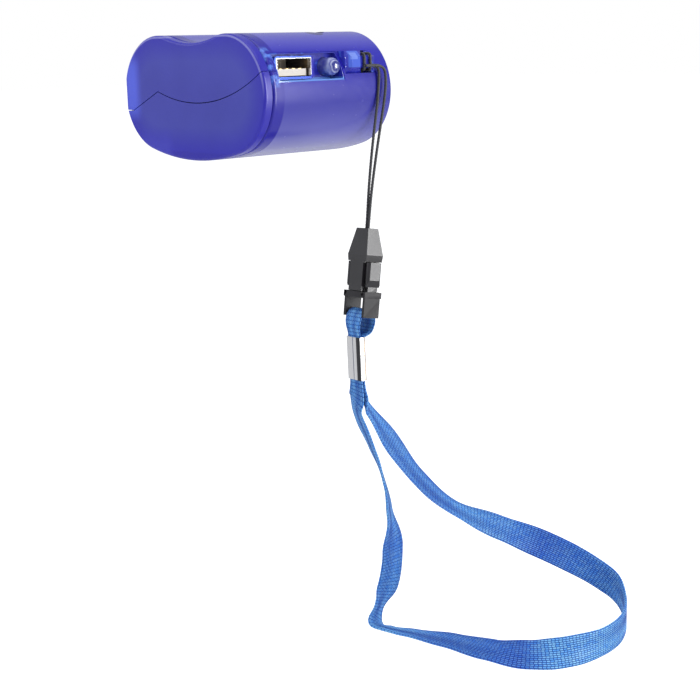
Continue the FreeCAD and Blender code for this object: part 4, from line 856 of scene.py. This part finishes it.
# Control points from one leg of the ferrule's mouth round to the other, each with the direction of the
# ribbon's width there
RIBBON_ROUTE = (
    ((29.2, 7.7, -92.9), (0.88, -0.47, 0.0)),
    ((29.7, 10.1, -99.2), (0.91, -0.42, 0.0)),
    ((30.4, 13.5, -107.0), (0.86, -0.51, 0.0)),
    ((31.3, 17.2, -117.1), (0.74, -0.67, 0.0)),
    ((31.1, 19.5, -128.0), (0.60, -0.80, 0.0)),
    ((30.5, 21.6, -140.4), (0.0, -1.0, 0.0)),
    ((28.6, 21.2, -153.3), (-0.10, -0.99, 0.0)),
    ((26.6, 17.6, -160.6), (0.36, -0.90, 0.10)),
    ((28.4, 15.2, -164.2), (0.40, -0.88, 0.26)),
    ((34.0, 14.8, -164.0), (0.26, -0.92, 0.28)),
    ((41.7, 16.9, -163.6), (0.0, -0.99, 0.14)),
    ((56.3, 18.6, -162.1), (0.0, -0.99, -0.09)),
    ((71.4, 19.3, -161.0), (0.0, -0.94, -0.34)),
    ((83.0, 23.4, -160.5), (0.42, -0.57, -0.70)),
    ((90.3, 32.6, -160.2), (0.25, -0.15, -0.95)),
    ((93.3, 45.9, -160.5), (0.0, 0.0, -1.0)),
    ((91.0, 60.2, -159.8), (0.0, 0.0, -1.0)),
    ((81.9, 69.9, -155.1), (0.0, 0.0, -1.0)),
    ((73.4, 67.9, -149.9), (0.0, 0.0, -1.0)),
    ((62.1, 59.2, -142.4), (0.1, -0.3, -0.95)),
    ((51.2, 47.9, -135.6), (0.38, -0.70, -0.60)),
    ((42.6, 36.6, -129.0), (0.68, -0.67, -0.28)),
    ((37.4, 26.5, -118.3), (0.55, -0.73, -0.40)),
    ((34.4, 17.7, -104.8), (0.39, -0.80, -0.45)),
    ((31.8, 10.2, -93.0), (0.69, -0.67, -0.26)),
)
# The webbing folded over the buckle's bar, in the strap's frame
BAR_Z = -25.1
FOLD_HALF_W = 4.38 * MM
# Control points of each leg in the ferrule, below its top
LEG_IN_FERRULE = (FERRULE_LEN, 1.0, 0.0)
# Control points of the front leg from under the bar up to its top: out from the bar, and above it
FOLD_LEG = ((-1.9, -5.5), (-2.5, -3.7), (-2.5, -1.4), (-1.5, 0.75), (-0.5, 1.3))
# Weave of the loop and of the fold: millimetres of one float along and across, the gap, and its colour
LOOP_WEAVE = (1.1, 0.6, 0.12, (0.008, 0.065, 0.45))
FOLD_WEAVE = (1.1, 0.62, 0.11, (0.006, 0.055, 0.42))
FLOAT_BLUES = ((0.115, 0.43, 0.98), (0.28, 0.66, 1.0))
# Painted sheen and shade along the satin, going lighter and darker: millimetres along from the
# ferrule's front mouth, and share
PAINTED_SHINE = ((0, 0.80), (45, 0.86), (57, 0.64), (66, 0.78), (80, 0.82), (90, 0.96), (105, 0.66),
         (124, 0.58), (137, 0.50), (146, 0.98), (165, 1.0), (178, 0.78), (192, 0.82), (205, 0.70),
         (221, 0.52), (232, 0.76), (246, 0.86), (258, 0.66), (276, 0.74), (300, 0.82))
SHINE_RUN = 308.0            # what the marks above are a share of
WEAR_SHADES = ((0.3, (0.88, 0.88, 0.90)), (0.7, (1, 1, 1)))


def painted_shine_tint(light):
    """Red and green fall off faster than blue as the painted shade darkens the satin."""
    return light ** 1.5, light ** 1.3, 0.5 + 0.5 * light


def weave_material(name, pitch, row, gap, gap_colour):
    """Blue webbing: lengthwise ribs of short floats, darker between the picks, with painted sheen and
    shade along its length.
    """
    mat, tree, shader = new_material(name)
    uv = add(tree, "ShaderNodeUVMap")
    bricks = add(tree, "ShaderNodeTexBrick", Scale=1.0, offset=0.15, squash=1.0)
    for socket, colour in zip(("Color1", "Color2", "Mortar"), (*FLOAT_BLUES, gap_colour)):
        bricks.inputs[socket].default_value = (*colour, 1)
    bricks.inputs["Mortar Size"].default_value = gap
    bricks.inputs["Mortar Smooth"].default_value = 0.5
    bricks.inputs["Brick Width"].default_value = pitch
    bricks.inputs["Row Height"].default_value = row
    tree.links.new(uv.outputs["UV"], bricks.inputs["Vector"])
    along = add(tree, "ShaderNodeSeparateXYZ")
    tree.links.new(uv.outputs["UV"], along.inputs["Vector"])
    share = calculate(tree, "DIVIDE", along.outputs["X"], SHINE_RUN)
    # Painted sheen and shade along the ribbon's length
    painted_shine = ramp(tree, share, [(run / SHINE_RUN, painted_shine_tint(light)) for run, light in PAINTED_SHINE])
    wear = ramp(tree, object_noise(tree, WEAR_SCALE, BUSY), WEAR_SHADES)
    colour = shade_with(tree, shade_with(tree, bricks.outputs["Color"], painted_shine), wear)
    tree.links.new(colour, shader.inputs["Base Color"])
    shader.inputs["Specular IOR Level"].default_value = 0.2
    shader.inputs["Sheen Weight"].default_value = 0.2
    shader.inputs["Sheen Roughness"].default_value = 0.35
    shader.inputs["Sheen Tint"].default_value = (0.4, 0.7, 1.0, 1.0)
    vary(tree, shader, "Roughness", bricks.outputs["Fac"], 0.34, 0.7)
    raised = calculate(tree, "SUBTRACT", 1.0, bricks.outputs["Fac"])
    add_bump(tree, shader, raised, 0.8, COARSE_BUMP)
    return mat


LOOP_WEBBING = weave_material("blue_webbing", *LOOP_WEAVE)
FOLD_WEBBING = weave_material("blue_webbing_fold", *FOLD_WEAVE)


def section_points(half_w):
    """Flat ribbed section with rounded edges, as (across, through) pairs round its outline."""
    half_t = RIBBON_HALF_T
    flat = half_w - half_t
    count = RIBS * POINTS_PER_RIB
    half = []
    for k in range(count + 1):
        share = k / count
        dip = RIB_DEPTH * (1 + math.cos(2 * math.pi * RIBS * share)) / 2
        half.append((flat - 2 * flat * share, half_t - dip))
    for k in range(1, EDGE_STEPS):
        angle = math.pi / 2 + math.pi * k / EDGE_STEPS
        half.append((-flat + half_t * math.cos(angle), (half_t - RIB_DEPTH) * math.sin(angle)))
    return half + [(-x, -y) for x, y in half]


def smooth(share):
    """Eased share, held between 0 and 1."""
    share = min(max(share, 0.0), 1.0)
    return share * share * (3 - 2 * share)


def width_directions(line, controls, widths):
    """For each point of the line, the width direction between those of its neighbouring controls."""
    marks = []
    start = 0
    for control in controls:
        best = min(range(start, len(line)), key=lambda i: (line[i] - control).length)
        marks.append(best)
        start = best
    marks[0] = 0
    marks[-1] = len(line) - 1
    out = []
    span = 0
    for i in range(len(line)):
        while span < len(marks) - 2 and i > marks[span + 1]:
            span += 1
        gap = marks[span + 1] - marks[span]
        share = (i - marks[span]) / gap if gap else 0.0
        out.append(widths[span].lerp(widths[span + 1], smooth(share)))
    return out


STRAP_ACROSS = (STRAP.to_3x3() @ Vector((1, 0, 0))).normalized()


def ribbon_uvs(obj, rings, lengths):
    """UV in millimetres: u along the ribbon, v across it."""
    count = len(rings[0])
    flats = section_points(RIBBON_HALF_W)
    layer = obj.data.uv_layers["UVMap"]
    for poly in obj.data.polygons:
        for loop, vertex in zip(poly.loop_indices, poly.vertices):
            i, k = divmod(vertex, count)
            layer.data[loop].uv = (lengths[i] / MM, flats[k][0] / MM)


def ribbon_sweep(name, line, widths, half_widths, material):
    """Ribbon along the line, with its width direction and half width at each point."""
    rings = []
    lengths = []
    run = 0.0
    for i, (point, tangent) in enumerate(zip(line, tangents(line))):
        if i:
            run += (point - line[i - 1]).length
        across = (widths[i] - tangent * widths[i].dot(tangent)).normalized()
        through = tangent.cross(across)
        rings.append([point + across * a + through * t for a, t in section_points(half_widths[i])])
        lengths.append(run)
    ribbon = sweep(name, rings, material, lengths)
    ribbon_uvs(ribbon, rings, lengths)
    return ribbon


def make_fold():
    """Webbing from the ferrule's mouth up over the bar and back down, both legs side by side."""
    front = [ferrule_point(0, -LEG_SHIFT, -z) for z in LEG_IN_FERRULE]
    back = [ferrule_point(0, LEG_SHIFT, -z) for z in reversed(LEG_IN_FERRULE)]
    over = [strap_point(0, y, BAR_Z + z) for y, z in FOLD_LEG]
    over += [strap_point(0, -y, BAR_Z + z) for y, z in reversed(FOLD_LEG)]
    line, _ = resample(centreline("fold", front + over + back), RIBBON_STEP)
    bar = strap_point(0, 0, BAR_Z)
    mouth = strap_point(0, 0, -FERRULE_DROP)
    reach = (mouth - bar).length
    down = (mouth - bar).normalized()
    half_widths = []
    for point in line:
        share = 1 - (point - bar).dot(down) / reach
        half_widths.append(GATHER_HALF_W + (FOLD_HALF_W - GATHER_HALF_W) * smooth(share))
    fold = ribbon_sweep("webbing_fold", line, [STRAP_ACROSS] * len(line), half_widths, FOLD_WEBBING)
    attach(fold, "buckle_insert")
    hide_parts("ribbon_fold")
    return fold


def make_ribbon():
    """The wrist loop, from the ferrule's front leg round to its back leg."""
    controls = [ferrule_point(0, -LEG_SHIFT, -FERRULE_LEN - run) for run in (0, RIBBON_EXIT_RUN)]
    widths = [STRAP_ACROSS] * 2
    for point, width in RIBBON_ROUTE:
        controls.append(Vector(point) * MM)
        widths.append(Vector(width).normalized())
    controls += [ferrule_point(0, LEG_SHIFT, -FERRULE_LEN - run) for run in (RIBBON_EXIT_RUN, 0)]
    widths += [STRAP_ACROSS] * 2
    line, length = resample(centreline("wrist_loop", controls), RIBBON_STEP)
    turned = width_directions(line, controls, widths)
    half_widths = []
    for i in range(len(line)):
        run = min(i, len(line) - 1 - i) * RIBBON_STEP
        wider = (RIBBON_HALF_W - GATHER_HALF_W) * smooth(run / GATHER_RUN)
        half_widths.append(GATHER_HALF_W + wider)
    ribbon = ribbon_sweep("wrist_loop", line, turned, half_widths, LOOP_WEBBING)
    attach(ribbon, "buckle_insert")
    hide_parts("wrist_ribbon")
    make_fold()


make_ribbon()


# Floor, backdrop and lamps

FLOOR_GLOW = 0.62
FLOOR_HALF = 6.0
FLOOR_SHADES = ((0.3, (0.84, 0.84, 0.85)), (0.7, (0.88, 0.88, 0.88)))
WORLD_LEVEL = 0.6
WORLD_TINT = (0.95, 0.97, 1.0, 1)
# What the lamps look at
MIDDLE = (0.03, 0.02, -0.06)
BUCKLE_MIDDLE = (0.034, 0.013, -0.044)
# Lamps: name, place, point looked at, size, power, and whether it is a card
LAMPS = (
    ("top_box", (0.1, -0.1, 0.75), MIDDLE, (0.9, 0.9), 3.0, False),
    ("left_box", (-0.55, -0.65, 0.35), MIDDLE, (0.6, 0.6), 1.5, False),
    ("right_box", (0.60, 0.20, 0.02), MIDDLE, (0.3, 0.36), 1.5, False),
    ("right_card", (0.560, 0.260, 0.060), BUCKLE_MIDDLE, (0.20, 0.46), 3.6, True),
)


def white_rays(tree):
    """1 for rays that show the background: from the camera, or through clear plastic."""
    rays = add(tree, "ShaderNodeLightPath").outputs
    return calculate(tree, "MAXIMUM", rays["Is Camera Ray"], rays["Is Transmission Ray"])


def make_stage():
    """Pale floor that the camera sees as white."""
    mat, tree, shader = new_material("studio_floor")
    grain = object_noise(tree, FLOOR_SCALE)
    tree.links.new(ramp(tree, grain, FLOOR_SHADES), shader.inputs["Base Color"])
    shader.inputs["Roughness"].default_value = 0.9
    shader.inputs["Specular IOR Level"].default_value = 0.0
    glow = add(tree, "ShaderNodeEmission", Color=(1, 1, 1, 1), Strength=FLOOR_GLOW)
    black = add(tree, "ShaderNodeEmission", Color=(0, 0, 0, 1), Strength=0.0)
    pick = add(tree, "ShaderNodeMixShader")
    total = add(tree, "ShaderNodeAddShader")
    tree.links.new(white_rays(tree), pick.inputs["Fac"])
    tree.links.new(black.outputs["Emission"], pick.inputs[1])
    tree.links.new(glow.outputs["Emission"], pick.inputs[2])
    tree.links.new(shader.outputs["BSDF"], total.inputs[0])
    tree.links.new(pick.outputs["Shader"], total.inputs[1])
    tree.links.new(total.outputs["Shader"], tree.nodes["Material Output"].inputs["Surface"])
    corners = [(x * FLOOR_HALF, y * FLOOR_HALF, FLOOR_Z * MM)
               for x, y in ((-1, -1), (1, -1), (1, 1), (-1, 1))]
    floor = mesh_object("floor", corners, [(0, 1, 2, 3)], mat, smooth=False)


def make_world():
    """Soft light from all sides, in front of a white backdrop."""
    world = bpy.data.worlds.new("studio")
    bpy.context.scene.world = world
    world.use_nodes = True
    tree = world.node_tree
    soft = tree.nodes["Background"]
    soft.inputs["Color"].default_value = WORLD_TINT
    soft.inputs["Strength"].default_value = WORLD_LEVEL
    seen = add(tree, "ShaderNodeBackground", Color=(1, 1, 1, 1), Strength=1.0)
    pick = add(tree, "ShaderNodeMixShader")
    tree.links.new(white_rays(tree), pick.inputs["Fac"])
    tree.links.new(soft.outputs["Background"], pick.inputs[1])
    tree.links.new(seen.outputs["Background"], pick.inputs[2])
    tree.links.new(pick.outputs["Shader"], tree.nodes["World Output"].inputs["Surface"])


def area_light(name, place, target, size, power, card):
    """Soft box, or a card that only shows in reflections."""
    data = bpy.data.lights.new(name, "AREA")
    data.shape = "RECTANGLE"
    data.size, data.size_y = size
    data.energy = power
    lamp = bpy.data.objects.new(name, data)
    bpy.context.scene.collection.objects.link(lamp)
    lamp.location = place
    lamp.visible_diffuse = not card
    lamp.rotation_mode = "QUATERNION"
    lamp.rotation_quaternion = (Vector(place) - Vector(target)).to_track_quat("Z", "Y")


make_stage()
make_world()
for lamp in LAMPS:
    area_light(*lamp)

bpy.context.scene.view_settings.view_transform = "Standard"
